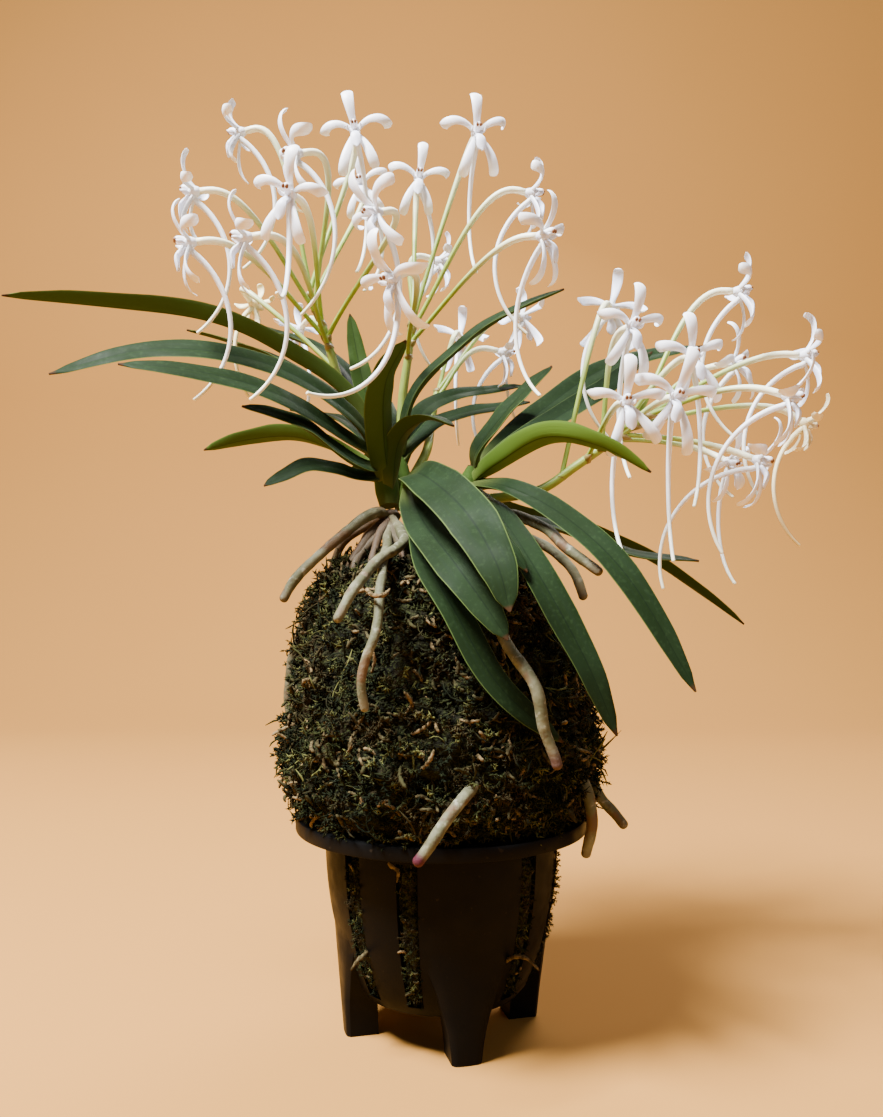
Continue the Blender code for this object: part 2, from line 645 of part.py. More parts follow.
def pedicel_path(start, spot, stations=5):
    """From the rachis up to the back of its flower."""
    face, _, _ = flower_axes(*spot[4:7])
    end = seen(*spot[:3]) - face * (THROAT_BACK + GAP)
    neck = end - face * 1.6
    span = np.linalg.norm(neck - start)
    leave = unit(neck - start + UP * span * 0.15)
    controls = (start, start + leave * span * 0.35, neck - face * min(12.0, span * 0.38), neck)
    t = np.linspace(0, 1, stations - 1)[:, None]
    weights = ((1 - t) ** 3, 3 * t * (1 - t) ** 2, 3 * t**2 * (1 - t), t**3)
    return np.vstack([sum(w * c for w, c in zip(weights, controls)), end])


def make_stalk(name, finish):
    rachis = smooth_path(all_seen(STALKS[name]), 25)
    shapes = [tube(rachis[::6], RACHIS_RADII, 6)]
    for spot in FLOWERS[name]:
        start = rachis[round(spot[3] * 24)]
        radii = (PEDICEL_RADIUS, PEDICEL_RADIUS, OVARY_RADIUS, OVARY_RADIUS)
        shapes.append(tube(pedicel_path(start, spot), radii, 4))
    stalk = fuse(f"flower_stalk_{name}", shapes, finish)
    keep_largest(stalk)
    shade_round(stalk, 60.0)
    return stalk


def leaf(start, width, turn, fold, points):
    """A strap leaf: folded where it clasps the stem, opening to a shallow channel, with a pointed tip."""
    path = smooth_path([start, *points], LEAF_STATIONS)
    along = directions(path)
    outward = path[-1] - path[0]
    across = unit(np.cross(outward, UP))
    a = math.radians(turn)
    ups = []
    for ahead in along:
        side = unit(across - ahead * (across @ ahead))
        up = np.cross(side, ahead)
        ups.append(up * math.cos(a) + side * math.sin(a))
    share = np.linspace(0, 1, LEAF_STATIONS)
    widths = width * np.interp(share, (0, 0.15, 0.35, 0.65, 0.85, 1), (0.5, 0.84, 1.0, 0.98, 0.7, 0.12))
    thick = LEAF_THICKNESS * np.interp(share, (0, 0.2, 0.8, 1), (1.5, 1.1, 0.9, 0.5))
    folds = np.interp(share, (0, 0.3, 1), (LEAF_FOLD_BASE, fold, fold * 0.6))
    return strap(path, ups, widths, thick, folds)


def stalk_hole(name):
    """Where a flower stalk stands in a leafy stem: the same stalk, a gap fatter and deeper."""
    rachis = smooth_path(all_seen(STALKS[name]), 25)[::6]
    rachis[0] += unit(rachis[0] - rachis[1]) * GAP * 2
    return tube(rachis, [r + GAP * 1.7 for r in RACHIS_RADII], 6)


def make_leafy_stem(name, finish):
    stem = LEAFY_STEMS[name]
    core = smooth_path(all_seen(stem["core"]), 4)
    shapes = [tube(core, (2.6, 3.4, 3.4, 2.8), 6)]
    count = len(stem["leaves"])
    for i, (width, turn, fold, points) in enumerate(stem["leaves"]):
        start = core[0] + (core[-1] - core[0]) * (0.95 - 0.8 * i / count)
        midrib = all_seen(points)
        away = unit((midrib[-1] - start) * (1, 1, 0))
        shapes.append(leaf(start + away * LEAF_CLASP, width, turn, fold, midrib))
    made = fuse(f"leafy_stem_{name}", shapes, finish)
    cut(made, [stalk_hole(stalk) for stalk in stem["stalks"]])
    keep_largest(made)
    shade_round(made, 40.0)
    return made


def root_path(start, points):
    """A root's run through its points, from the crown if it springs from one."""
    return smooth_path(([start] if start is not None else []) + all_seen(points), ROOT_STATIONS)


def make_crown(name, finish):
    crown = CROWNS[name]
    core = smooth_path(all_seen(crown["core"]), 3)
    shapes = [tube(core, (3.2, 4.2, 3.4), 6)]
    for radius, points in crown["roots"]:
        shapes.append(tube(root_path(core[1], points), [radius * t for t in ROOT_TAPER], ROOT_SIDES))
    made = fuse(f"root_crown_{name}", shapes, finish)
    keep_largest(made)
    shade_round(made, 60.0)
    return made


def root_holes():
    """Where roots stand in the moss: the same roots, a gap fatter all round and past their ends."""
    holes = []
    for crown in CROWNS.values():
        core = smooth_path(all_seen(crown["core"]), 3)
        holes += [(radius, root_path(core[1], points)) for radius, points in crown["roots"]]
    holes += [(radius, root_path(None, points)) for radius, points in LOOSE_ROOTS.values()]
    shapes = []
    for radius, path in holes:
        path[0] += unit(path[0] - path[1]) * GAP * 2
        path[-1] += unit(path[-1] - path[-2]) * GAP * 2
        shapes.append(tube(path, [radius * t + GAP * 1.3 for t in ROOT_TAPER], ROOT_SIDES))
    return shapes


def main():
    for old in list(bpy.data.objects):
        bpy.data.objects.remove(old)
    black = material("pot_plastic", (0.022, 0.019, 0.017), 0.38)
    moss_green = material("moss", (0.045, 0.05, 0.02), 0.95)
    leaf_green = material("leaf", (0.06, 0.14, 0.06), 0.38)
    stalk_green = material("stalk", (0.3, 0.4, 0.1), 0.5)
    petal_white = material("petal", (0.88, 0.87, 0.82), 0.5)
    root_grey = material("root", (0.36, 0.37, 0.25), 0.7)
    make_pot(black)
    make_moss(moss_green, root_holes())
    for name in CROWNS:
        make_crown(name, root_grey)
    for name, (radius, points) in LOOSE_ROOTS.items():
        shape = tube(root_path(None, points), [radius * t for t in ROOT_TAPER], ROOT_SIDES)
        shade_round(new_object(name, *shape, root_grey), 60.0)
    for name in LEAFY_STEMS:
        make_leafy_stem(name, leaf_green)
    luck = random.Random(7)
    for name, spots in FLOWERS.items():
        make_stalk(name, stalk_green)
        for i, spot in enumerate(spots):
            make_bloom(f"bloom_{name}_{i + 1:02d}", spot, petal_white, luck)


main()
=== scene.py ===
# %% [markdown]
# # A wind orchid in flower on a moss mound, in its slotted pot
#
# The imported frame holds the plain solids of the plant. This lesson dresses them. Each solid
# gets a finer skin that keeps its form, a material of its own, and then light and a camera.
# Everything is in millimetres round the pot's upright axis until a mesh is made.

# %% Load the frame
import math
import random
from collections import namedtuple

import bmesh
import bpy
import numpy as np
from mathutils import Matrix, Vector, noise


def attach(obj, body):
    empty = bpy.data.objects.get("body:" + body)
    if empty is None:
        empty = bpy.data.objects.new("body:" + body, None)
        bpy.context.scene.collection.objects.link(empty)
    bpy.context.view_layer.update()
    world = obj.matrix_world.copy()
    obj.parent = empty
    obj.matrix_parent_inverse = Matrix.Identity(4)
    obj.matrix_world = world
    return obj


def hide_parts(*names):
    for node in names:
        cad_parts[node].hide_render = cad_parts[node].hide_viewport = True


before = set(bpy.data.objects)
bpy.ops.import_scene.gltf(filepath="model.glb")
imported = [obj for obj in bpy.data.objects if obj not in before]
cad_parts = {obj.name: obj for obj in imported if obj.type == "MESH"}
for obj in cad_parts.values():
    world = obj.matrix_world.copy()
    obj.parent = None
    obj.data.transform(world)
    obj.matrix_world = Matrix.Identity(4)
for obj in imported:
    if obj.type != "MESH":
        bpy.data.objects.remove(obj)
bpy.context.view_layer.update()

# %% [markdown]
# ## Where things are
#
# Leaves, flowers and roots grow freely, so their places come from a front view of the plant.
# A point is given by where it is seen, across and up, against an upright plane through the
# pot's axis, and by how far behind that plane it lies. The eye of that view later becomes the
# camera, so the picture and the plant agree.

# %% The front view
MM = 0.001
POT_AXIS = (4.7, -7.6)
VIEW_DISTANCE = 275.0
VIEW_HEIGHT = 119.0
VIEW_TILT = 91.73
UP = np.array([0.0, 0.0, 1.0])


def seen(across, height, depth):
    """The point seen at this place against the plane, this far behind it."""
    eye = np.array([0.0, -VIEW_DISTANCE, VIEW_HEIGHT])
    place = np.array([across, 0.0, height])
    return eye + (place - eye) * (VIEW_DISTANCE + depth) / VIEW_DISTANCE


def all_seen(points):
    return [seen(*point) for point in points]


# %% [markdown]
# ## Paths
#
# A stem, a root and a leaf's midrib all follow a smooth curve through a few points. The curve
# is read at even steps, and closer together near a rounded end, so that the end can close.

# %% Curves through a few points
CURVE_STEPS = 16
ROUND_END_STEPS = np.array([1.0, 0.7, 0.45, 0.25, 0.1, 0.0])
ROUND_END_GAP = 0.05


def unit(vector):
    return vector / np.linalg.norm(vector)


def units(vectors):
    return vectors / np.linalg.norm(vectors, axis=1, keepdims=True)


def run_of(points):
    """How far along a line each of its points lies."""
    return np.concatenate([[0.0], np.cumsum(np.linalg.norm(np.diff(points, axis=0), axis=1))])


def points_at(stops, run, points):
    return np.stack([np.interp(stops, run, column) for column in points.T], axis=1)


def smooth_path(points, count, round_end=0.0):
    """Points on a smooth curve through the given ones, with some more inside a rounded end."""
    points = np.array(points, float)
    ends = np.vstack([2 * points[0] - points[1], points, 2 * points[-1] - points[-2]])
    fine = []
    for before, a, b, after in zip(ends, ends[1:], ends[2:], ends[3:]):
        for t in np.linspace(0.0, 1.0, CURVE_STEPS, endpoint=False):
            curve = 2 * a + (b - before) * t + (2 * before - 5 * a + 4 * b - after) * t**2
            fine.append(0.5 * (curve + (3 * a - before - 3 * b + after) * t**3))
    fine = np.array(fine + [points[-1]])
    run = run_of(fine)
    stops = np.linspace(0.0, run[-1], count)
    if round_end:
        tip = run[-1] - round_end * ROUND_END_STEPS
        stops = np.concatenate([stops[stops < tip[0] - ROUND_END_GAP], tip])
    return points_at(stops, run, fine)


def directions(path):
    return units(np.gradient(path, axis=0))


def spread(values, count):
    """Values spaced evenly along a path, read at this many stations."""
    return np.interp(np.linspace(0, 1, count), np.linspace(0, 1, len(values)), values)


# %% [markdown]
# ## Skins
#
# Nearly every part of a plant is a closed skin over rings of points: a round ring for a stem
# or root, a flat lens for a petal, a shallow V for a leaf. One helper joins the rings, and
# each skin carries marks, such as how far along a leaf a point lies. The materials read the
# marks, so veins, margins and tips follow the leaf wherever it bends.

# %% Closed skins over rings
TIP_RADIUS = 0.03


def column_of(values):
    return np.asarray(values, float)[:, None]


def circle(sides, first, second):
    """Directions round a circle, from the first of its two axes towards the second."""
    turn = column_of(np.linspace(0, 2 * math.pi, sides, endpoint=False))
    return np.cos(turn) * first + np.sin(turn) * second


def skin(rings, **marks):
    """Points, faces and marks of a closed skin over rings of equal count."""
    rings = np.asarray(rings, float)
    rows, sides = rings.shape[:2]
    faces = []
    for row in range(rows - 1):
        for side in range(sides):
            a, b = row * sides + side, row * sides + (side + 1) % sides
            faces.append((a, b, b + sides, a + sides))
    faces.append(tuple(reversed(range(sides))))
    faces.append(tuple(range((rows - 1) * sides, rows * sides)))
    marks = {name: np.broadcast_to(values, (rows, sides)).reshape(-1) for name, values in marks.items()}
    return {"points": rings.reshape(-1, 3), "faces": faces, "marks": marks}


def tube(path, radii, sides, **marks):
    """A round stem along a path, whose radii are spread evenly along it."""
    along = directions(path)
    side = unit(np.cross(along[0], UP if abs(along[0][2]) < 0.9 else np.array([1.0, 0.0, 0.0])))
    rings = []
    for point, ahead, radius in zip(path, along, spread(radii, len(path))):
        side = unit(side - ahead * (side @ ahead))
        rings.append(point + radius * circle(sides, side, np.cross(ahead, side)))
    return skin(rings, along=column_of(np.linspace(0, 1, len(path))), **marks)


def blunted(path, radii):
    """Radii that close the far end of a path as a rounded tip."""
    radii = spread(radii, len(path))
    left = np.linalg.norm(path - path[-1], axis=1)
    rounded = np.sqrt(np.maximum(0.0, radii * radii - (radii - left) ** 2)) + TIP_RADIUS
    return np.where(left < radii, np.minimum(radii, rounded), radii)


def blade(path, ups, lateral, height, **marks):
    """A strap along a path: offsets sideways and upwards for each station and place round it."""
    along = directions(path)
    ups = units(ups - along * np.sum(ups * along, axis=1, keepdims=True))
    sides = np.cross(along, ups)
    rings = path[:, None] + sides[:, None] * lateral[..., None] + ups[:, None] * height[..., None]
    return skin(rings, **marks)


def round_section(across):
    """Places round a strap: over the top from one edge to the other, and back underneath."""
    under = np.concatenate([np.zeros(len(across)), np.ones(len(across) - 2)])
    under[[0, len(across) - 1]] = 0.5
    return np.concatenate([across, across[-2:0:-1]]), under


# %% Meshes from skins
def mesh_of(name, skins, centre=(*POT_AXIS, 0.0)):
    """One mesh of several skins, placed round this centre."""
    faces, first = [], 0
    for s in skins:
        faces += [tuple(first + corner for corner in face) for face in s["faces"]]
        first += len(s["points"])
    mesh = bpy.data.meshes.new(name)
    mesh.from_pydata((np.concatenate([s["points"] for s in skins]) + centre) * MM, [], faces)
    return mesh


def show(name, data):
    """An object of this mesh, light or camera, in the scene."""
    made = bpy.data.objects.new(name, data)
    bpy.context.scene.collection.objects.link(made)
    return made


def smooth(mesh, sharp):
    """Shades a mesh smooth, but for edges that turn by more than this."""
    mesh.shade_smooth()
    mesh.set_sharp_from_angle(angle=math.radians(sharp))


def piece(name, skins, finish, replaced=(), sharp=180):
    """One object of the plant, from its skins, in place of the frame's plain solids."""
    mesh = mesh_of(name, skins)
    for mark in sorted({mark for s in skins for mark in s["marks"]}):
        values = [s["marks"].get(mark, np.zeros(len(s["points"]))) for s in skins]
        mesh.attributes.new(mark, "FLOAT", "POINT").data.foreach_set("value", np.concatenate(values))
    mesh.materials.append(finish)
    smooth(mesh, sharp)
    return settle(show(name, mesh), replaced)


def settle(made, replaced=()):
    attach(made, "root")
    if replaced:
        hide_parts(*replaced)
    made.data.calc_loop_triangles()
    print(made.name, "has", len(made.data.loop_triangles), "triangles")
    return made


# %% [markdown]
# ## Materials
#
# A plant's colours change along each part: a leaf is paler at its margin and darker along its
# midrib, a flower's stem turns from green to cream. So each finish is a small node tree that
# starts from one colour and lays others over it, each where a mark or a noise says.

# %% Building blocks for the finishes
SIDES_APART = 9.0


def shade(*colour):
    """A colour as it looks on a screen, from 0 to 255, as the linear light that shaders use."""
    return (*(((v / 255 + 0.055) / 1.055) ** 2.4 if v > 10 else v / 255 / 12.92 for v in colour), 1.0)


def add_node(tree, kind, inputs, **settings):
    """A node's outputs, once its settings are made and its inputs are filled in or linked."""
    node = tree.nodes.new(kind)
    for key, value in settings.items():
        setattr(node, key, value)
    for key, value in inputs.items():
        if isinstance(value, bpy.types.NodeSocket):
            tree.links.new(value, node.inputs[key])
        else:
            node.inputs[key].default_value = value
    return node.outputs


class Finish:
    """A material whose colour is built up in layers."""

    def __init__(self, name, colour, roughness, mirroring):
        self.material = bpy.data.materials.new(name)
        self.material.use_nodes = True
        self.tree = self.material.node_tree
        self.shader = self.tree.nodes["Principled BSDF"].inputs
        self.shader["Roughness"].default_value = roughness
        self.shader["Specular IOR Level"].default_value = mirroring
        self.colour = shade(*colour)
        self.place = self.add("TexCoord", {})["Object"]

    def add(self, kind, inputs, **settings):
        return add_node(self.tree, "ShaderNode" + kind, inputs, **settings)

    def set(self, name, source):
        self.tree.links.new(source, self.shader[name])

    def mark(self, name):
        return self.add("Attribute", {}, attribute_name=name)["Fac"]

    def maths(self, operation, a, b=0.0):
        return self.add("Math", {0: a, 1: b}, operation=operation)[0]

    def times(self, a, b):
        return self.maths("MULTIPLY", a, b)

    def noise(self, scale, detail=3.0, place=None):
        inputs = {"Scale": scale, "Detail": detail, "Vector": self.place if place is None else place}
        return self.add("TexNoise", inputs)["Fac"]

    def streaks(self, across, along):
        """Noise drawn out along the piece: how often it changes across it and along it."""
        often = {"X": ("across", across), "Y": ("along", along), "Z": ("under", SIDES_APART)}
        inputs = {axis: self.times(self.mark(mark), value) for axis, (mark, value) in often.items()}
        return self.noise(1.0, 2.0, self.add("CombineXYZ", inputs)["Vector"])

    def between(self, value, low, high, start=0.0, end=1.0):
        """Goes smoothly from start to end while the value goes from low to high."""
        inputs = {"Value": value, "From Min": low, "From Max": high, "To Min": start, "To Max": end}
        return self.add("MapRange", inputs, interpolation_type="SMOOTHSTEP")["Result"]

    def over(self, factor, *colour):
        """Lays a colour over the others where the factor says."""
        inputs = {"Factor": factor, "A": self.colour, "B": shade(*colour)}
        self.colour = self.add("Mix", inputs, data_type="RGBA")["Result"]

    def fade(self, value, low, high, strength, *colour):
        """Lays a colour over the others, more as the value goes from low to high."""
        self.over(self.between(value, low, high, 0.0, strength), *colour)

    def patches(self, scale, detail, *layer):
        """Lays a colour over the others in patches of noise."""
        self.fade(self.noise(scale, detail), *layer)

    def bump(self, height, strength, distance):
        inputs = {"Strength": strength, "Distance": distance, "Height": height}
        self.set("Normal", self.add("Bump", inputs)["Normal"])

    def done(self):
        self.set("Base Color", self.colour)
        return self.material


# %% [markdown]
# ## The pot
#
# The pot is one moulding: a barrel of staves under a flat rim, cut by tall slots and standing
# on four feet that taper down from the wide staves. Turning a section round the axis gives the
# barrel and the rim. Booleans add the feet and cut the slots, and a narrow bevel softens each
# edge as the mould does, which is what catches the light on dark plastic.

# %% The pot's sizes
RIM_RADIUS = 40.0
RIM_TOP = 57.6
RIM_PLATE_BOTTOM = RIM_TOP - 1.8
RIM_EDGE_BOTTOM = RIM_TOP - 3.9
RIM_EDGE = ((0.5, 0.0), (0.14, 0.14), (0.0, 0.5), (0.0, 3.1), (0.2, 3.6), (0.8, 3.9))
RIM_LIP = 2.0
WALL = 1.6
WALL_TOP_RADIUS = 32.0
FLOOR_RADIUS = 22.5
FLOOR_BOTTOM = 10.4
FLOOR_TOP = FLOOR_BOTTOM + 1.8
FLOOR_EDGE = 0.7
ROOM_TOP = 32.0
DRAIN_RADIUS = 4.0
POT_TURN = 14.3
POT_SIDES = 112
QUARTER = 90.0
FOOT_ANGLES = (0.0, 90.0, 180.0, 270.0)
FOOT_DEPTH = 7.5
FOOT_TOP = 33.0
FOOT_HALF_WIDTHS = ((0.0, 9.0, 17.5, 23.0, 29.0), (3.9, 5.6, 7.6, 9.8, 12.0))
FOOT_WAIST = 0.5
FOOT_WAIST_TOP = 16.0
FOOT_JOIN = 29.0
FOOT_BOTTOM_RADIUS = 26.9
FOOT_ROUNDING = 0.9
SLOT_ANGLES = (30.0, 60.0)
SLOT_HALF_ANGLE = 5.0
SLOT_BOTTOM = 13.0
SLOT_TOP = 51.0


def wall_radius(height):
    """The pot's outer wall, drawn in towards the floor like a barrel."""
    share = (RIM_TOP - height) / (RIM_TOP - FLOOR_BOTTOM)
    return WALL_TOP_RADIUS - (WALL_TOP_RADIUS - FLOOR_RADIUS) * share**2.6


def pot_direction(degrees_from_front_foot):
    a = math.radians(POT_TURN + degrees_from_front_foot)
    return np.array([math.sin(a), -math.cos(a), 0.0])


# %% Shapes that make up the pot
def turned_ring(section):
    """A ring turned round the axis from a closed section of radii and heights."""
    points, faces, count = [], [], len(section)
    for k in range(POT_SIDES):
        a = 2 * math.pi * k / POT_SIDES
        points += [(r * math.cos(a), r * math.sin(a), z) for r, z in section]
        here, there = k * count, (k + 1) % POT_SIDES * count
        for i in range(count):
            after = (i + 1) % count
            faces.append((here + i, there + i, there + after, here + after))
    return {"points": np.array(points), "faces": faces}


def slot_block(angle):
    """A block between two angles that cuts one slot."""
    left, right = pot_direction(angle - SLOT_HALF_ANGLE), pot_direction(angle + SLOT_HALF_ANGLE)
    inner, outer = FLOOR_RADIUS - 3.0, WALL_TOP_RADIUS + 2.0
    corners = (left * inner, left * outer, right * outer, right * inner)
    return skin([[corner + UP * z for corner in corners] for z in (SLOT_BOTTOM, SLOT_TOP)])


def foot_block(angle):
    """A foot that runs down from its stave, with a face as round as the barrel's."""
    out = pot_direction(angle)
    side = np.array([-out[1], out[0], 0.0])
    radii = (FOOT_BOTTOM_RADIUS, wall_radius(FOOT_JOIN) - 0.05, wall_radius(FOOT_TOP) - 0.3)
    rings = []
    for height in np.linspace(0.0, FOOT_TOP, 18):
        waist = FOOT_WAIST * math.sin(math.pi * min(1.0, height / FOOT_WAIST_TOP))
        half = np.interp(height, *FOOT_HALF_WIDTHS) - waist
        outer = np.interp(height, (0.0, FOOT_JOIN, FOOT_TOP), radii)
        wide = np.linspace(-1.0, 1.0, 13)
        face = np.sqrt(outer**2 - (half * wide) ** 2) - FOOT_ROUNDING * np.abs(wide) ** 9
        edge = [(face[-1] - FOOT_DEPTH, half), (face[0] - FOOT_DEPTH, -half), *zip(face, half * wide)]
        rings.append([out * r + side * w + UP * height for r, w in edge])
    return skin(rings)


def combine(body, shapes, operation):
    """Adds shapes to a solid, or takes them out of it."""
    for shape in shapes:
        other = show("other", mesh_of("other", [shape]))
        change = body.modifiers.new("change", "BOOLEAN")
        change.operation = operation
        change.solver = "EXACT"
        change.object = other
        bake(body)
        bpy.data.objects.remove(other)


def bake(body):
    """Turns a body's modifiers into plain mesh."""
    graph = bpy.context.evaluated_depsgraph_get()
    made = bpy.data.meshes.new_from_object(body.evaluated_get(graph))
    body.modifiers.clear()
    body.data = made


# %% [markdown]
# The plastic is nearly black, with a satin sheen. Handling and watering leave it a little
# uneven, so a soft noise varies its roughness and a faint dust gathers in patches.

# %% The pot's finish
look = Finish("pot_plastic_satin", (9, 9, 9), 0.4, 0.05)
look.patches(90, 6.0, 0.52, 0.8, 0.25, 28, 25, 21)
look.patches(700, 2.0, 0.69, 0.76, 0.3, 52, 44, 34)
look.set("Roughness", look.between(look.noise(160, 4.0), 0.3, 0.75, 0.36, 0.56))
look.bump(look.noise(1500, 2.0), 0.1, 0.00015)
black_plastic = look.done()

# %% Put the pot together
heights = np.linspace(FLOOR_BOTTOM, RIM_PLATE_BOTTOM, 22)
inside = np.linspace(RIM_TOP, FLOOR_TOP, 22)
section = [(DRAIN_RADIUS, FLOOR_BOTTOM), (FLOOR_RADIUS - 2.0, FLOOR_BOTTOM)]
section += [(wall_radius(z) - (FLOOR_EDGE if z == FLOOR_BOTTOM else 0.0), z) for z in heights]
section += [(RIM_RADIUS - RIM_LIP, z) for z in (RIM_PLATE_BOTTOM, RIM_EDGE_BOTTOM)]
section += [(RIM_RADIUS - inset, RIM_EDGE_BOTTOM + rise) for inset, rise in RIM_EDGE]
section += [(wall_radius(RIM_TOP) - WALL + 0.5, RIM_TOP)]
section += [(wall_radius(z) - WALL, z - (0.4 if z == RIM_TOP else 0.0)) for z in inside]
section += [(DRAIN_RADIUS, FLOOR_TOP)]
pot = show("orchid_pot", mesh_of("orchid_pot", [turned_ring(section)]))
combine(pot, [foot_block(foot) for foot in FOOT_ANGLES], "UNION")
room = [(wall_radius(z) - WALL, z) for z in inside[::-1] if z < ROOM_TOP]
combine(pot, [turned_ring([(0.5, inside[-1]), *room, (0.5, ROOM_TOP)])], "DIFFERENCE")
combine(pot, [slot_block(foot + slot) for foot in FOOT_ANGLES for slot in SLOT_ANGLES], "DIFFERENCE")
soft = pot.modifiers.new("soft_edges", "BEVEL")
soft.width = 0.00035
soft.segments = 2
soft.limit_method = "ANGLE"
soft.angle_limit = math.radians(40)
bake(pot)
pot.data.materials.append(black_plastic)
smooth(pot.data, 38)
settle(pot, ["pot"])

# %% [markdown]
# ## The moss mound
#
# The mound is moss packed round the roots and pressed into the pot, where it shows in the
# slots. Its body is one lumpy skin. On it grow thousands of short sprigs, with dry tan
# strands between them: far too many to place by hand, so Geometry Nodes scatter both.

# %% The mound's body
GAP = 0.3
MOSS_OUTLINE = (
    (RIM_TOP + GAP, 35.6), (RIM_TOP + 2.4, 38.4), (67.0, 40.6), (76.0, 41.8), (86.0, 40.0), (96.0, 37.4),
    (106.0, 34.8), (114.0, 31.6), (121.0, 27.0), (126.0, 20.6), (129.5, 9.0),
)
MOSS_LEAN_FROM = 84.0
MOSS_LEAN = -0.13
MOSS_RELIEF = 1.14
SMOOTH_WITHIN = 12.0
SMOOTH_ABOVE_RIM = 3.0
DRY_SHARE = 0.36
DRY_CROWN_FROM = 104.0
DRY_CROWN_DEPTH = 22.0
SLOT_BULGE = 1.5
SLOT_MARGIN = 1.5
SLOT_INSET = 1.2
MOSS_TURNS = 210
MOSS_ROWS = 92


def moss_relief(angle, height, radius):
    """Lumps of moss, as a sum of waves round and up the mound."""
    if radius < SMOOTH_WITHIN or height < RIM_TOP + SMOOTH_ABOVE_RIM:
        return 0.0
    waves = math.sin(7 * angle + height * 0.31) * math.cos(height * 0.55 - 3 * angle)
    waves += 0.7 * math.sin(13 * angle - height * 0.47) * math.sin(height * 0.83 + 5 * angle)
    return MOSS_RELIEF * (waves + 0.5 * math.cos(19 * angle + height * 0.9))


def in_slot(angle_degrees):
    """Whether this way round the pot looks out through the middle of a slot."""
    from_foot = (angle_degrees - POT_TURN) % QUARTER
    return any(abs(from_foot - slot) < SLOT_HALF_ANGLE - SLOT_INSET for slot in SLOT_ANGLES)


def dryness(place):
    """Dead strands lie in bands round the mound, and thickest at its top."""
    band = noise.noise(Vector((place.x * 0.03, place.y * 0.03, place.z * 0.22)))
    patch = noise.noise(place * 0.09)
    crown = max(0.0, place.z - DRY_CROWN_FROM) / DRY_CROWN_DEPTH
    return max(0.0, min(1.0, DRY_SHARE + 1.1 * band + 0.7 * patch + 0.5 * crown))


# %% The moss body's finish
look = Finish("moss_matted", (16, 16, 9), 0.95, 0.08)
look.patches(220, 5.0, 0.45, 0.65, 1.0, 32, 32, 17)
look.patches(90, 3.0, 0.5, 0.7, 0.9, 44, 36, 21)
look.patches(1300, 6.0, 0.5, 0.6, 0.9, 44, 48, 24)
look.bump(look.noise(900, 6.0), 1.0, 0.002)
matted = look.done()

# %% Its skin, marked with how thickly sprigs and dry strands lie on it
low = np.linspace(FLOOR_TOP + GAP, RIM_TOP, 30)
outline = np.array([(z, wall_radius(z) - WALL - GAP) for z in low] + list(MOSS_OUTLINE))
run = run_of(outline)
rings, marks = [], {"sprigs": [], "dead": [], "slots": []}
for height, radius in points_at(np.linspace(0.0, run[-1], MOSS_ROWS), run, outline):
    beside_slots = SLOT_BOTTOM + SLOT_MARGIN < height < SLOT_TOP - SLOT_MARGIN
    lean = MOSS_LEAN * max(0.0, height - MOSS_LEAN_FROM)
    ring = []
    for k in range(MOSS_TURNS):
        a = 2 * math.pi * k / MOSS_TURNS
        slot = beside_slots and in_slot(math.degrees(a))
        r = radius + moss_relief(a, height, radius) + (SLOT_BULGE if slot else 0.0)
        place = Vector((r * math.cos(a), r * math.sin(a), height))
        if height > RIM_TOP + 1.0:
            r += 1.5 * noise.noise(place * 0.16) + 0.9 * noise.noise(place * 0.42)
        ring.append((r * math.cos(a) + lean, r * math.sin(a), height))
        marks["slots"].append(slot)
        marks["sprigs"].append(height > RIM_TOP)
        marks["dead"].append(dryness(place) if height > RIM_TOP else 0.0)
    rings.append(ring)
marks = {name: np.array(values, float).reshape(len(rings), -1) for name, values in marks.items()}
moss_body = piece("moss_body", [skin(rings, **marks)], matted, ["moss_mound"])

# %% [markdown]
# A sprig of moss is a bent thread with small leaves set along it, and a dry strand is a thread
# that has curled. Both are drawn once, in a few dozen faces, and then repeated.

# %% One sprig and one dry strand
LEAFLET_TURN = 2.4


def sprig_shape(name, length, leaves, leaf_length, luck):
    """A thread that bends over, with slim closed leaflets round it, growing up +Z."""

    def bent(share):
        return np.array([0.62 * length * share**1.6, 0.0, length * share * (1 - 0.38 * share)])

    skins = [tube(np.array([bent(share) for share in (0.0, 0.5, 1.0)]), [0.24, 0.2, 0.06], 3)]
    for i in range(leaves):
        share = 0.16 + 0.8 * i / leaves
        root = bent(share)
        a = i * LEAFLET_TURN + luck.uniform(-0.3, 0.3)
        out = np.array([math.cos(a) * 0.75, math.sin(a) * 0.75, 0.66])
        side = unit(np.cross(out, UP)) * leaf_length * 0.2
        thick = unit(np.cross(side, out)) * leaf_length * 0.08
        tip = root + out * leaf_length * (1.1 - 0.5 * share)
        points = np.array([root - side, root + side, root + thick * 2, tip])
        skins.append({"points": points, "faces": [(0, 1, 2), (0, 3, 1), (1, 3, 2), (2, 3, 0)]})
    return hidden_shape(name, skins)


def strand_shape(name, length, curl, width, knobs, sides, rise):
    """A thread that has dried into a curl, lying along +X, with knobs where its leaves shrank."""
    count = 2 * knobs + 1
    turn = curl * (np.linspace(0, 1, count) - 0.25)
    steps = np.stack([np.cos(turn), np.sin(turn), rise * np.cos(turn * 1.3)], axis=1) * length / (count - 1)
    path = np.cumsum(steps, axis=0) - steps[0] + (0.0, 0.0, width * 0.6)
    radii = spread((0.6, 0.95, 1.05, 1.0, 0.6), count) * width
    radii[1::2] *= 1.6
    return hidden_shape(name, [tube(path, radii, sides)])


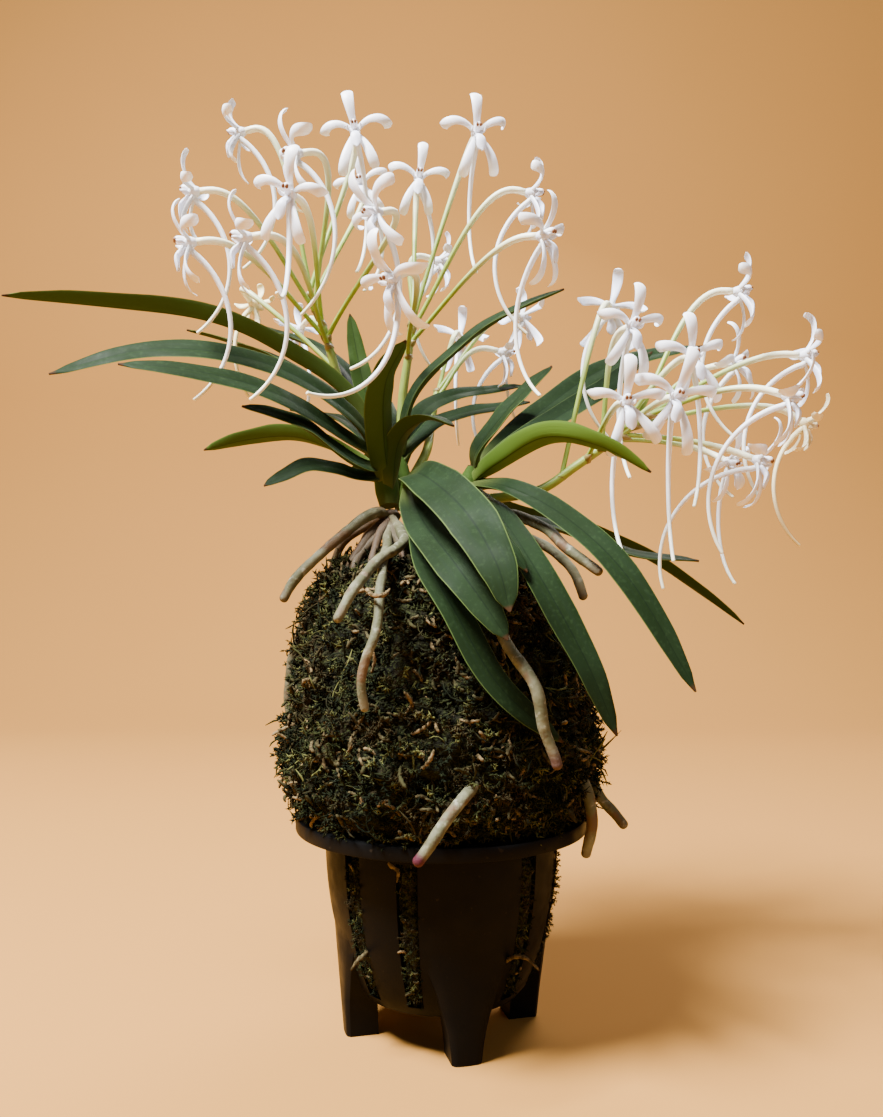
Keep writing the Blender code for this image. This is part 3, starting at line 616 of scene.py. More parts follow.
def hidden_shape(name, skins):
    """A mesh object for copying, kept out of the scene."""
    mesh = mesh_of(name, skins, (0.0, 0.0, 0.0))
    work = bmesh.new()
    work.from_mesh(mesh)
    bmesh.ops.recalc_face_normals(work, faces=work.faces)
    work.to_mesh(mesh)
    work.free()
    return bpy.data.objects.new(name, mesh)


# %% [markdown]
# The scattering tree drops points on the mound as thickly as its mark says, stands a copy on
# each, leans and turns it by chance from a fixed seed, and gives each copy a tone of its own.

# %% A tree that scatters copies on the moss
TREE_INPUTS = {
    "Ground": "Geometry", "Shape": "Object", "Per square metre": "Float", "Lean": "Float",
    "Smallest": "Float", "Largest": "Float", "Mark": "String", "Seed": "Int", "Finish": "Material",
}
SPIN_SEED, SIZE_SEED, TONE_SEED = 5, 11, 17


def scatter_tree(name):
    tree = bpy.data.node_groups.new(name, "GeometryNodeTree")
    for socket, kind in TREE_INPUTS.items():
        tree.interface.new_socket(socket, in_out="INPUT", socket_type=f"NodeSocket{kind}")
    tree.interface.new_socket("Cover", in_out="OUTPUT", socket_type="NodeSocketGeometry")
    start = add_node(tree, "NodeGroupInput", {})

    def geometry(kind, inputs, **settings):
        return add_node(tree, "GeometryNode" + kind, inputs, **settings)

    def function(kind, inputs, **settings):
        return add_node(tree, "FunctionNode" + kind, inputs, **settings)

    def maths(kind, operation, inputs):
        return add_node(tree, f"ShaderNode{kind}Math", inputs, operation=operation)[0]

    growth = geometry("InputNamedAttribute", {"Name": start["Mark"]})["Attribute"]
    density = maths("", "MULTIPLY", {0: growth, 1: start["Per square metre"]})
    ground = {"Mesh": start["Ground"], "Density": density, "Seed": start["Seed"]}
    points = geometry("DistributePointsOnFaces", ground)
    box = {"Min": (-1, -1, -1), "Max": (1, 1, 1), "Seed": start["Seed"]}
    push = function("RandomValue", box, data_type="FLOAT_VECTOR")["Value"]
    lean = maths("Vector", "SCALE", {0: push, "Scale": start["Lean"]})
    way = maths("Vector", "ADD", {0: points["Normal"], 1: lean})
    stand = function("AlignRotationToVector", {"Vector": way}, axis="Z")["Rotation"]
    spin = function("RandomValue", {3: math.tau, "Seed": SPIN_SEED})[1]
    twist = function("AxisAngleToRotation", {"Axis": (0, 0, 1), "Angle": spin})["Rotation"]
    turned = function("RotateRotation", {"Rotation": stand, "Rotate By": twist}, rotation_space="LOCAL")
    sizes = {2: start["Smallest"], 3: start["Largest"], "Seed": SIZE_SEED}
    size = function("RandomValue", sizes)[1]
    shape = geometry("ObjectInfo", {"Object": start["Shape"]})["Geometry"]
    spots = {"Points": points["Points"], "Instance": shape, "Rotation": turned["Rotation"], "Scale": size}
    copies = geometry("InstanceOnPoints", spots)["Instances"]
    tone = function("RandomValue", {"Seed": TONE_SEED})[1]
    marked = {"Geometry": copies, "Name": "tone", "Value": tone}
    toned = geometry("StoreNamedAttribute", marked, domain="INSTANCE")["Geometry"]
    real = geometry("RealizeInstances", {"Geometry": toned})["Geometry"]
    dressed = geometry("SetMaterial", {"Geometry": real, "Material": start["Finish"]})["Geometry"]
    add_node(tree, "NodeGroupOutput", {"Cover": dressed})
    return tree


def scatter(name, tree, inputs):
    """Grows a cover of copies on the mound and turns it into a plain mesh."""
    grower = show(name, moss_body.data.copy())
    change = grower.modifiers.new("scatter", "NODES")
    change.node_group = tree
    socket = {item.name: item.identifier for item in tree.interface.items_tree if item.in_out == "INPUT"}
    for key, value in inputs.items():
        change[socket[key]] = value
    bake(grower)
    grower.data.shade_smooth()
    settle(grower)


# %% [markdown]
# Living moss is a dark olive with some greener tips, and the dead strands are a dull tan to
# brown. The tone mark, one number for each copy, spreads the colours over the mound.

# %% The moss's finishes
look = Finish("moss_sprig", (16, 20, 9), 0.9, 0.06)
look.fade(look.mark("tone"), 0.3, 0.85, 1.0, 40, 43, 20)
look.fade(look.mark("tone"), 0.84, 0.99, 1.0, 80, 80, 42)
look.patches(110, 3.0, 0.5, 0.68, 0.85, 50, 41, 24)
green_moss = look.done()

look = Finish("moss_dry_strand", (62, 57, 37), 0.9, 0.06)
look.fade(look.mark("tone"), 0.35, 0.95, 1.0, 112, 93, 64)
look.fade(look.mark("tone"), 0.3, 0.05, 1.0, 48, 46, 26)
look.patches(900, 3.0, 0.42, 0.6, 0.85, 42, 36, 20)
dry_moss = look.done()

# %% Grow the sprigs and strands
luck = random.Random(3)
moss_tree = scatter_tree("scatter_on_moss")
sprig = sprig_shape("sprig", 4.4, 7, 1.9, luck)
tall_sprig = sprig_shape("tall_sprig", 6.2, 9, 2.0, luck)
thread = strand_shape("thread", 8.5, 1.9, 0.18, 2, 3, 0.12)
strand = strand_shape("strand", 5.6, 0.9, 0.34, 4, 5, 0.2)
bent_strand = strand_shape("bent_strand", 4.0, 1.4, 0.4, 4, 5, 0.25)
curl = strand_shape("curl", 4.8, 3.7, 0.42, 4, 5, 0.4)
COVER_INPUTS = ("Shape", "Finish", "Mark", "Per square metre", "Lean", "Smallest", "Largest", "Seed")
COVERS = {
    "moss_sprigs": (sprig, green_moss, "sprigs", 188000.0, 0.85, 0.55, 1.2, 2),
    "moss_tall_sprigs": (tall_sprig, green_moss, "sprigs", 60000.0, 1.0, 0.45, 1.0, 8),
    "moss_threads": (thread, green_moss, "sprigs", 100000.0, 0.5, 0.4, 1.2, 13),
    "moss_strands": (strand, dry_moss, "dead", 130000.0, 0.45, 0.4, 1.2, 21),
    "moss_bent_strands": (bent_strand, dry_moss, "dead", 115000.0, 0.55, 0.45, 1.1, 30),
    "moss_curls": (curl, dry_moss, "dead", 12000.0, 0.6, 0.45, 1.0, 34),
    "moss_in_slots": (sprig, green_moss, "slots", 900000.0, 1.0, 0.3, 0.62, 55),
    "moss_dry_in_slots": (bent_strand, dry_moss, "slots", 70000.0, 0.3, 0.3, 0.7, 89),
}
for name, values in COVERS.items():
    scatter(name, moss_tree, dict(zip(COVER_INPUTS, values)))

# %% [markdown]
# A few bits stand out from the rest: strands that hang over the rim or out of the slots, one
# that is caught round a root, and a dark needle beside the mound. Those are placed one by one.

# %% The stray bits
STRAY_RADII = (0.35, 0.7, 0.6, 0.7, 0.5, 0.25)
STRAYS = {
    "over_the_rim_right": [(26.5, 61.5, -27), (28.5, 60.0, -29), (28.7, 56.0, -31), (28.0, 52.5, -31)],
    "over_the_rim_left": [(-38.5, 63.5, -4), (-41.0, 62.6, -6), (-43.6, 61.0, -8), (-43.2, 59.8, -9)],
    "out_of_the_left_slot": [(-19.5, 20.5, -19), (-21.4, 17.8, -23), (-23.2, 16.2, -25), (-25.0, 13.6, -25)],
    "out_of_the_right_slot": [(16.5, 15.2, -21), (19.5, 17.2, -24), (23.4, 17.0, -26), (27.0, 13.6, -27)],
    "high_in_a_slot": [(-12.5, 45.5, -26), (-14.5, 42.8, -29), (-12.0, 40.8, -29.5), (-12.6, 37.2, -29)],
    "round_a_root": [(-21.6, 119.4, -41), (-19.0, 117.0, -45), (-16.0, 117.2, -45), (-14.4, 118.8, -41)],
}
NEEDLE = [(42.0, 72.0, -8), (45.5, 75.2, -9), (50.0, 79.6, -10)]
skins = []
for number, points in enumerate(STRAYS.values()):
    radii = spread(STRAY_RADII, 14)
    radii[1::2] *= 0.75
    skins.append(tube(smooth_path(all_seen(points), 14), radii, 7, tone=0.35 + 0.1 * number))
skins.append(tube(smooth_path(all_seen(NEEDLE), 8), (0.4, 0.3, 0.05), 6, tone=0.0))
piece("moss_strays", skins, dry_moss)

# %% [markdown]
# ## The leafy stems
#
# The leaves are thick and leathery straps, folded where they clasp the stem and opening to a
# shallow channel, with a keel below and a small dark point at the tip. Each is one skin: a
# rounded V swept along its midrib, wide in the middle and drawn in at both ends.

# %% Where the leaves grow
LEAF_THICKNESS = 1.3
LEAF_FOLD_BASE = 34.0
LEAF_CLASP = 1.5
LEAF_STATIONS = 44
LEAF_ACROSS = np.array([-1.0, -0.94, -0.8, -0.55, -0.28, -0.1, 0.0, 0.1, 0.28, 0.55, 0.8, 0.94, 1.0])
LEAF_HALF_WIDTHS = ((0, 0.15, 0.35, 0.65, 0.85, 0.95, 1), (0.5, 0.84, 1, 0.98, 0.72, 0.42, 0.05))

STEM_CORES = {
    "left": [(-14.7, 142, 0), (-15.5, 149.3, 2), (-16.4, 158.3, 4)],
    "middle": [(-10.5, 141.4, 8), (-11.6, 149.3, 10), (-12.5, 157.2, 12)],
    "front": [(-7.4, 137.8, -4.5), (-8.3, 143.7, -9), (-9.9, 149.9, -10)],
    "right": [(5.5, 138.6, 3), (6.9, 144.5, 4), (8.5, 153.2, 5)],
}
# Each leaf's width, its turn about its midrib, its fold and the points of its midrib.
LEAVES = {
    "left": [
        (9.0, 22, 40, [(-25.1, 171.2, 2), (-39.8, 182.5, 0), (-68, 195.3, -4), (-123.8, 201.5, -6)]),
        (8.4, -48, 16, [(-27.1, 168.4, -6), (-48.2, 181.1, -14), (-79.1, 185.9, -20), (-110.3, 179.2, -24)]),
        (7.8, -50, 14, [(-27.1, 161.1, -6), (-45.3, 172.4, -22), (-67.8, 179.2, -30), (-90.9, 182, -34)]),
        (7.0, 0, 20, [(-25.1, 167.6, 12), (-39.8, 179.7, 22), (-56.7, 187.4, 34), (-71.6, 191.6, 42)]),
        (6.6, -10, 20, [(-22.3, 171.8, 12), (-34.2, 185.9, 28), (-57.3, 194.4, 50)]),
        (8.0, -42, 18, [(-25.1, 154.4, -8), (-39.7, 165, -18), (-56, 170.1, -26)]),
        (7.4, 38, 20, [(-25.6, 156, 10), (-39.7, 161.7, 18), (-53.7, 161.1, 24), (-66.6, 157.7, 26)]),
        (6.8, -40, 14, [(-23.9, 150.4, -4), (-36.8, 153.2, -8), (-49.7, 147.6, -12)]),
        (9.6, 26, 26, [(-16.7, 163.9, -12), (-15.9, 177.5, -22), (-10, 188.8, -26)]),
        (6.6, -30, 24, [(-19.5, 166.2, 8), (-22.9, 180.3, 14), (-25.8, 196.1, 18)]),
        (7.4, 0, 18, [(-12.2, 160.5, -8), (-4.6, 166.7, -18), (3.5, 164.5, -24)]),
    ],
    "middle": [
        (7.4, 28, 26, [(-8.3, 171.2, 8), (1.3, 183.1, 8), (16.5, 195, 9), (34.5, 203.2, 10)]),
        (7.2, 34, 20, [(-6, 160.5, 14), (2.9, 166.7, 18), (24.8, 171.2, 22)]),
        (7.0, 34, 20, [(-6.6, 166.2, 22), (2.4, 172.4, 34), (23.2, 175.8, 46)]),
        (7.2, 8, 20, [(-13.9, 163.9, 22), (-16.7, 170.7, 42), (-17.3, 171.2, 66)]),
        (7.2, 0, 20, [(-6, 149.3, 24), (-1.5, 152.1, 44), (2.9, 144.8, 68)]),
        (7.0, 12, 20, [(-12.7, 152.1, 24), (-17.2, 156, 46), (-25.6, 151, 70)]),
        (6.6, -6, 20, [(-18.4, 157.2, 24), (-28.5, 166.2, 44), (-42.5, 169, 64)]),
    ],
    "front": [
        (12.4, 34, 12, [(-4.6, 149.9, -26), (6.6, 140.3, -44), (15.5, 125.5, -55), (19.1, 112.4, -58)]),
        (10.6, 30, 12, [(-5.5, 138.1, -24), (3.8, 125.5, -42), (12.1, 114.1, -49), (18.5, 104.6, -52)]),
        (9.6, 14, 14, [(-4.9, 128, -26), (3.8, 111.3, -41), (16.3, 90.7, -45), (33.7, 76.3, -37)]),
        (7.6, 10, 16, [(8, 140.9, -22), (17.7, 131.1, -34), (23.9, 123.5, -38)]),
    ],
    "right": [
        (9.4, 40, 20, [(10.8, 157.7, 0), (19.2, 169, -1), (31, 181.4, -1)]),
        (8.8, 40, 18, [(15.8, 157.7, 14), (29, 169, 26), (47.3, 180.9, 36), (73.2, 187.1, 44)]),
        (8.6, 40, 18, [(13.6, 153.8, 6), (27.6, 163.4, 12), (44.5, 174.1, 19), (59.2, 185.4, 25)]),
        (8.0, -44, 24, [(15.8, 154.4, -8), (29, 161.7, -18), (44.4, 159.4, -26), (58.7, 151.5, -30)]),
        (8.6, 30, 18, [(19.2, 146.5, -14), (34.8, 138.1, -26), (52.1, 121.3, -36), (70.8, 90.2, -42)]),
        (7.4, 24, 20, [(19.2, 139.2, 2), (33.1, 135.3, 6), (52.7, 128.6, 10), (71.9, 126.6, 12)]),
        (7.2, -10, 20, [(22, 140.3, 18), (41.5, 135.3, 30), (63.8, 124.1, 40), (84.3, 109, 46)]),
        (9.6, 16, 16, [(16.4, 138.1, -16), (27.5, 121.3, -34), (39.7, 99, -40), (48.8, 78, -40)]),
        (7.0, 0, 20, [(9.7, 146.5, 24), (16.4, 147, 44), (27.6, 142.6, 66)]),
        (7.0, -8, 20, [(16.4, 143.7, 24), (29, 143.7, 44), (44.3, 132.5, 60)]),
    ],
}
# Leaves painted a paler yellow-green, by stem and number: painted light where a leaf catches
# more light, and the paler colour of a side that some of them show.
LEAF_LIGHT_AND_PALE_SIDES = {("right", 3): 0.7, ("left", 0): 0.14, ("left", 6): 0.25, ("left", 8): 0.14, ("left", 9): 0.2}
PLAIN_LEAF = 0.04

# %% One leaf
def leaf(start, width, turn, fold, points, tone):
    """A folded strap with a channel above, a keel below and a pointed tip."""
    path = smooth_path([start, *points], LEAF_STATIONS)
    along = directions(path)
    across = unit(np.cross(path[-1] - path[0], UP))
    sides = units(across - along * (along @ across)[:, None])
    a = math.radians(turn)
    ups = np.cross(sides, along) * math.cos(a) + sides * math.sin(a)
    share = np.linspace(0, 1, LEAF_STATIONS)
    half = width / 2 * np.interp(share, *LEAF_HALF_WIDTHS)
    thick = LEAF_THICKNESS * np.interp(share, (0, 0.2, 0.8, 1), (1.5, 1.1, 0.9, 0.4))
    folds = np.radians(np.interp(share, (0, 0.3, 1), (LEAF_FOLD_BASE, fold, fold * 0.6)))
    u, under = round_section(LEAF_ACROSS)
    lateral = column_of(half * np.cos(folds)) * u
    rise = column_of(half * np.sin(folds)) * (np.sqrt(u**2 + 0.01) - 0.1)
    body = column_of(thick) * (1 - np.abs(u) ** 2.2) * 0.5 + 0.06
    ripple = column_of(0.18 * np.sin(share * 21 + width)) * np.abs(u)
    height = rise + body * (1 - 2 * under) + ripple
    return blade(path, ups, lateral, height, along=column_of(share), across=u, under=under, tone=tone)


# %% [markdown]
# The top of a leaf is a deep blue-green with a satin sheen, and its underside is more olive.
# The margin is a fine pale line, the midrib a darker one, and the tip ends in a brown point.
# Some leaves get a paler yellow-green: painted light, and the paler side some of them show.

# %% The leaf's finish
look = Finish("leaf_waxy", (11, 21, 12), 0.55, 0.03)
along, edge = look.mark("along"), look.maths("ABSOLUTE", look.mark("across"))
look.patches(50, 4.0, 0.35, 0.7, 1.0, 18, 30, 19)
look.fade(look.streaks(5.0, 2.5), 0.4, 0.75, 0.5, 16, 26, 21)
look.patches(900, 3.0, 0.5, 0.75, 0.2, 46, 64, 40)
look.over(look.times(look.mark("under"), 0.7), 46, 64, 28)
# Painted light: the tone mark lays a paler yellow-green on leaves that catch more light, and on the paler
# side some of them show.
look.over(look.mark("tone"), 88, 118, 42)
look.fade(along, 0.2, 0.0, 0.6, 84, 92, 46)
look.fade(edge, 0.07, 0.0, 0.6, 12, 20, 13)
look.fade(edge, 0.93, 0.98, 0.5, 84, 100, 50)
look.fade(along, 0.975, 0.99, 1.0, 52, 36, 22)
look.bump(look.streaks(26.0, 3.0), 0.12, 0.0004)
look.set("Roughness", look.between(look.noise(120), 0.3, 0.7, 0.5, 0.68))
green_leaf = look.done()

# %% Grow the leafy stems
for name, leaves in LEAVES.items():
    core = smooth_path(all_seen(STEM_CORES[name]), 22)
    foot, head = core[0], core[-1]
    skins = [tube(core, (2.6, 3.4, 3.4, 2.8, 1.2), 16, tone=0.25, under=0.6, across=0.5)]
    for i, (width, turn, fold, points) in enumerate(leaves):
        start = foot + (head - foot) * (0.95 - 0.8 * i / len(leaves))
        midrib = all_seen(points)
        start = start + unit((midrib[-1] - start) * (1, 1, 0)) * LEAF_CLASP
        skins.append(leaf(start, width, turn, fold, midrib, LEAF_LIGHT_AND_PALE_SIDES.get((name, i), PLAIN_LEAF)))
    piece(f"leaves_{name}", skins, green_leaf, [f"leafy_stem_{name}"], 60)

# %% [markdown]
# ## The roots
#
# Thick grey-green roots arch out of the crowns, some into the moss and some free in the air.
# They are round and slightly knobbly, with rusty bands where they are old and purple-brown
# growing tips. A swept circle with a gently uneven radius and a blunt end makes each one.

# %% Where the roots run
ROOT_SIDES = 14
KNOBS = 0.1
SMALL_KNOBS = 0.05
ROOT_SWAY = 0.5

CROWN_CORES = {
    "left": [(-14.1, 137.8, -1), (-14.4, 140, 0)],
    "right": [(5.5, 134.2, 3), (5.5, 136.7, 3)],
}
# Each root's radius and the points it runs through, from its crown.
CROWN_ROOTS = {
    "left": [
        (2.2, [(-19.4, 139.8, -8), (-31.2, 131.1, -14), (-40.6, 121.3, -16), (-44.5, 115.2, -17)]),
        (2.1, [(-19.4, 137.5, 8), (-27.8, 131.1, 12), (-30, 122.4, 14), (-25.5, 114.1, 8)]),
        (2.0, [(-16.1, 135.3, -8), (-22.2, 129.1, -12), (-25, 122.7, -16), (-25, 118, -14)]),
        (2.3, [
            (-15, 132.5, -14), (-17.2, 121.3, -37), (-18.3, 106.8, -46),
            (-22.1, 94.6, -47), (-21.5, 84.6, -46),
        ]),
        (2.3, [(-10.5, 132.5, -18), (-18.3, 126.3, -34), (-25, 118.5, -44), (-30, 109.6, -48)]),
        (2.0, [(-18.3, 138.1, 18), (-22.2, 131.1, 30), (-23.9, 121.3, 30), (-23.9, 115.7, 22)]),
        (2.0, [(-19.5, 134.5, -8), (-25.0, 126.5, -13), (-27.8, 118.5, -12)]),
        (1.9, [(-12.6, 133.5, -11), (-9.6, 126.5, -19), (-8.4, 118.5, -23)]),
        (1.8, [(-16.8, 134.5, -11), (-19.4, 127.5, -17), (-20.4, 118.5, -20)]),
    ],
    "right": [
        (2.2, [(16.4, 139.8, -6), (27.5, 136.4, -20), (34.8, 130.2, -28), (44.3, 123, -32)]),
        (2.1, [(16.4, 135.3, 0), (28.9, 130.8, -6), (36.4, 124.1, -10), (40, 115.7, -12)]),
        (2.3, [(10.2, 128, -18), (13, 118, -34), (17.7, 104.6, -43), (25.7, 91.3, -50), (31.8, 68.6, -49)]),
        (2.0, [(3.5, 131.1, 16), (4, 122.7, 16), (4, 117.1, 8)]),
        (2.0, [(10.8, 133.6, 24), (17.5, 126.9, 38), (19.7, 110.2, 52), (17.9, 90.7, 58)]),
    ],
}
LOOSE_ROOTS = {
    "aerial_root_front": (2.2, [(11.8, 68, -30), (7.9, 63.1, -42), (-0.4, 52.6, -50), (-7.3, 42.2, -52)]),
    "aerial_root_right_outer": (2.3, [(35.1, 76.3, -4), (39.6, 70.2, -6), (44, 61.4, -8), (51.1, 52.6, -9)]),
    "aerial_root_right_inner": (2.3, [
        (34.6, 71.3, -16), (39.5, 64.7, -20), (41.4, 54.8, -21), (40, 44.4, -20),
    ]),
    "aerial_root_left": (2.1, [
        (-33.3, 111.8, -10), (-37.8, 109.6, -6), (-41.6, 99, -4), (-42.7, 87.9, -4), (-40.4, 80.2, -4),
    ]),
}
# How old and brown each root is, how dark its tip, and its thickness as a share of its solid's.
ROOT_TRAITS = {
    ("left", 1): (0.8, 0.2, 0.6),
    ("left", 2): (0.75, 0.2, 0.62),
    ("left", 3): (0.12, 0.15, 0.54),
    ("left", 4): (0.1, 0.1, 0.6),
    ("left", 5): (0.85, 0.2, 0.6),
    ("left", 6): (0.8, 0.2, 0.7),
    ("left", 7): (0.6, 0.2, 0.7),
    ("left", 8): (0.85, 0.2, 0.66),
    ("right", 2): (0.1, 0.7, 0.66),
    ("right", 3): (0.8, 0.2, 0.7),
    "aerial_root_front": (0.15, 1.0, 0.7),
    "aerial_root_left": (0.4, 0.4, 0.66),
}
PLAIN_ROOT = (0.12, 0.25, 0.68)

# %% One root
def wave(point, scale, *shift):
    """A smooth chance value at a point of a root."""
    return noise.noise(Vector(point) * scale + Vector(shift))


def root_skin(starts, radius, points, seed, traits):
    """A knobbly root with a blunt end."""
    age, tip, slimness = traits
    radius = radius * slimness
    run = smooth_path([*starts, *all_seen(points)], 80, radius)
    radii = radius * spread((1.0, 1.06, 1.0, 0.96, 0.94, 0.9, 0.8), len(run))
    knobs = [1 + KNOBS * wave(p, 0.3, seed, 0, 0) + SMALL_KNOBS * wave(p, 0.9, 0, seed, 0) for p in run]
    run[:, 0] += ROOT_SWAY * radius * np.array([wave(p, 0.12, seed, 5, 0) for p in run])
    return tube(run, blunted(run, radii * knobs), ROOT_SIDES, age=age, tip=tip)


# %% The root's finish
look = Finish("root_skin", (76, 78, 54), 0.66, 0.2)
look.patches(160, 5.0, 0.38, 0.66, 1.0, 108, 108, 84)
look.patches(480, 4.0, 0.56, 0.7, 0.6, 150, 148, 128)
look.patches(380, 5.0, 0.57, 0.68, 0.75, 66, 60, 40)
look.patches(95, 4.0, 0.55, 0.64, 0.65, 88, 58, 36)
look.fade(look.mark("along"), 0.3, 0.0, 0.55, 104, 92, 62)
look.over(look.mark("age"), 66, 45, 30)
look.over(look.times(look.between(look.mark("along"), 0.88, 0.93), look.mark("tip")), 62, 18, 30)
look.bump(look.noise(900), 0.4, 0.0005)
grey_root = look.done()

# %% Grow the roots
for name, roots in CROWN_ROOTS.items():
    core = all_seen(CROWN_CORES[name])
    middle = smooth_path(core, 3)[1]
    skins = [tube(smooth_path(core, 12), (2.2, 3.0, 2.4), 18, age=0.75, tip=0.0)]
    for i, (radius, points) in enumerate(roots):
        traits = ROOT_TRAITS.get((name, i), PLAIN_ROOT)
        skins.append(root_skin([middle], radius, points, i * 7.0, traits))
    piece(f"roots_{name}", skins, grey_root, [f"root_crown_{name}"])
for i, (name, (radius, points)) in enumerate(LOOSE_ROOTS.items()):
    lone = root_skin([], radius, points, i * 5.0 + 2, ROOT_TRAITS.get(name, PLAIN_ROOT))
    piece(f"{name}_skin", [lone], grey_root, [name])

# %% [markdown]
# ## The flower stalks
#
# Each stalk carries its flowers on long stems of their own, which are green where they leave
# it and fade to cream behind the flower. A small dry bract sits below each stem.

# %% Where the flowers are
STALKS = {
    "left": [
        (-17.2, 154.4, 10), (-22, 164.8, 14), (-28.5, 176.9, 14),
        (-33.3, 192.5, 12), (-37.3, 201.3, 10),
    ],
    "middle": [(-11.3, 153.8, 15.5), (-11.1, 170.4, 16), (-9.1, 185.9, 15), (-8, 196.7, 14)],
    "back": [(-7.7, 150.4, 12), (-4.1, 157.7, 20), (-2.9, 164.8, 30), (-1.3, 174.1, 38)],
    "right": [(10.8, 143.7, 9), (26.7, 146.2, 6), (37.7, 153.2, 3), (48.1, 160.5, 0), (57.4, 167.3, -1)],
}

# Each flower's place, how far along the stalk its stem starts, the way it faces, its nod and
# roll, the sideways swing of its spur, its size and, where it isn't the usual one, its spur's
# first slope.
SPUR_SLOPE = 36.0
Flower = namedtuple(
    "Flower", "across height depth stem_start facing nod roll swing size slope", defaults=[SPUR_SLOPE]
)
FLOWER_ROWS = {
    "left": [
        (-57.3, 247.8, 8, 0.93, -98, 12, 10, 10, 1.0),
        (-70.2, 230.9, -12, 0.86, -92, 5, -8, 6, 0.95),
        (-71.5, 216.3, -27, 0.76, -72, 14, 6, -4, 1.0),
        (-55.7, 217.8, -34, 0.70, -80, 12, -10, 4, 1.0),
        (-41.4, 241.8, -12, 0.90, -68, 16, 0, -40, 1.1),
        (-42.8, 230.3, -38, 0.83, -18, 8, -12, 20, 0.95, 75),
        (-24.5, 248.4, 2, 1.0, 0, -4, 8, -14, 1.0),
        (-22.7, 233.2, 22, 0.96, -8, 4, 6, -40, 0.8),
        (-18.8, 224.9, -30, 0.74, -52, 20, 24, 0, 1.05, 50),
        (-52.8, 198.7, 30, 0.60, 150, 30, 0, 0, 0.72),
        (-39.8, 191.6, 58, 0.66, -150, 16, 12, 0, 0.9),
    ],
    "middle": [
        (-13.9, 206.1, -42, 0.72, -44, 30, 0, 0, 1.05, 80),
        (-6.4, 234.9, 20, 1.0, 6, -2, -6, -38, 0.9),
        (10, 247.8, 6, 0.93, 12, 0, 4, 0, 1.0),
        (25.6, 230.3, 2, 0.86, 96, 12, -6, -6, 1.0),
        (28.9, 218.3, -18, 0.80, 58, 10, 8, -20, 1.05),
        (-0.4, 210.9, 44, 0.90, 112, 12, 0, 10, 0.9),
    ],
    "back": [
        (17.6, 185.1, 44, 0.90, 96, 14, 6, 0, 0.95),
        (22.7, 195, 56, 1.0, 140, 6, -10, 0, 0.95),
        (5.2, 189.3, 72, 0.86, 172, 4, 8, 0, 0.95),
    ],
    "right": [
        (47.7, 197.8, 14, 0.46, 158, 0, 8, -45, 0.95),
        (53.6, 192.7, -16, 0.72, 18, 4, -6, -10, 1.0),
        (51.8, 171.2, -26, 0.62, 4, 10, 6, 8, 1.0),
        (65.8, 172.7, -24, 0.74, 8, 8, -14, -14, 1.05),
        (70.4, 184.2, -13, 0.80, 14, 6, 10, -40, 1.0),
        (84.1, 202.4, 4, 0.90, 84, 6, -4, 0, 1.05),
        (82.5, 182.3, 18, 0.96, 52, 0, 16, 6, 1.0),
        (102.4, 184.2, 2, 0.97, 90, 6, -6, 0, 1.05, 18),
        (97.8, 172.7, -22, 1.0, 68, 22, 8, 20, 1.1, 14),
        (102.2, 165, 14, 0.93, 92, 34, 0, 10, 0.9),
        (89.2, 154.6, -4, 0.84, 62, 24, -10, 6, 1.1, 0),
        (80.8, 154.1, 14, 0.78, 40, 28, 24, -30, 0.9, 44),
    ],
}
FLOWERS = {name: [Flower(*row) for row in rows] for name, rows in FLOWER_ROWS.items()}
# Flowers that have turned from white to cream, by stalk and number.
FLOWER_AGES = {("left", 9): 0.8, ("right", 9): 0.7}

THROAT_BACK = 2.1

# %% The flower's own directions
STEM_NECK = 1.6
STEM_RISE = 0.15
STEM_REACH = 0.35


def flower_centre(spot):
    return seen(spot.across, spot.height, spot.depth)


def flower_axes(spot):
    """The flower's own axes: the way it faces, its top and its side."""
    a, n, r = (math.radians(v) for v in (spot.facing, spot.nod, spot.roll))
    face = np.array([math.sin(a) * math.cos(n), -math.cos(a) * math.cos(n), -math.sin(n)])
    side = unit(np.cross(face, UP))
    top = np.cross(side, face)
    return face, top * math.cos(r) + side * math.sin(r), side * math.cos(r) - top * math.sin(r)


def stem_path(start, spot, stations):
    """From the stalk up to the back of its flower."""
    face, _, _ = flower_axes(spot)
    end = flower_centre(spot) - face * (THROAT_BACK + GAP)
    neck = end - face * STEM_NECK
    span = np.linalg.norm(neck - start)
    leave = unit(neck - start + UP * span * STEM_RISE)
    controls = (start, start + leave * span * STEM_REACH, neck - face * min(12.0, span * 0.38), neck)
    t = np.linspace(0, 1, stations - 1)[:, None]
    weights = ((1 - t) ** 3, 3 * t * (1 - t) ** 2, 3 * t**2 * (1 - t), t**3)
    return np.vstack([sum(w * c for w, c in zip(weights, controls)), end + face * 0.5])


# %% The stalk's finish
look = Finish("stalk_green_to_cream", (132, 154, 58), 0.45, 0.5)
look.patches(200, 3.0, 0.4, 0.7, 0.6, 110, 136, 48)
look.over(look.times(look.between(look.mark("along"), 0.35, 1.0), look.mark("fade")), 232, 230, 200)
look.over(look.mark("dry"), 120, 96, 60)
green_stalk = look.done()

# %% Grow the stalks
STALK_STEPS = 24
STEM_RADII = (0.72, 0.68, 0.7, 0.82, 0.95, 0.95)

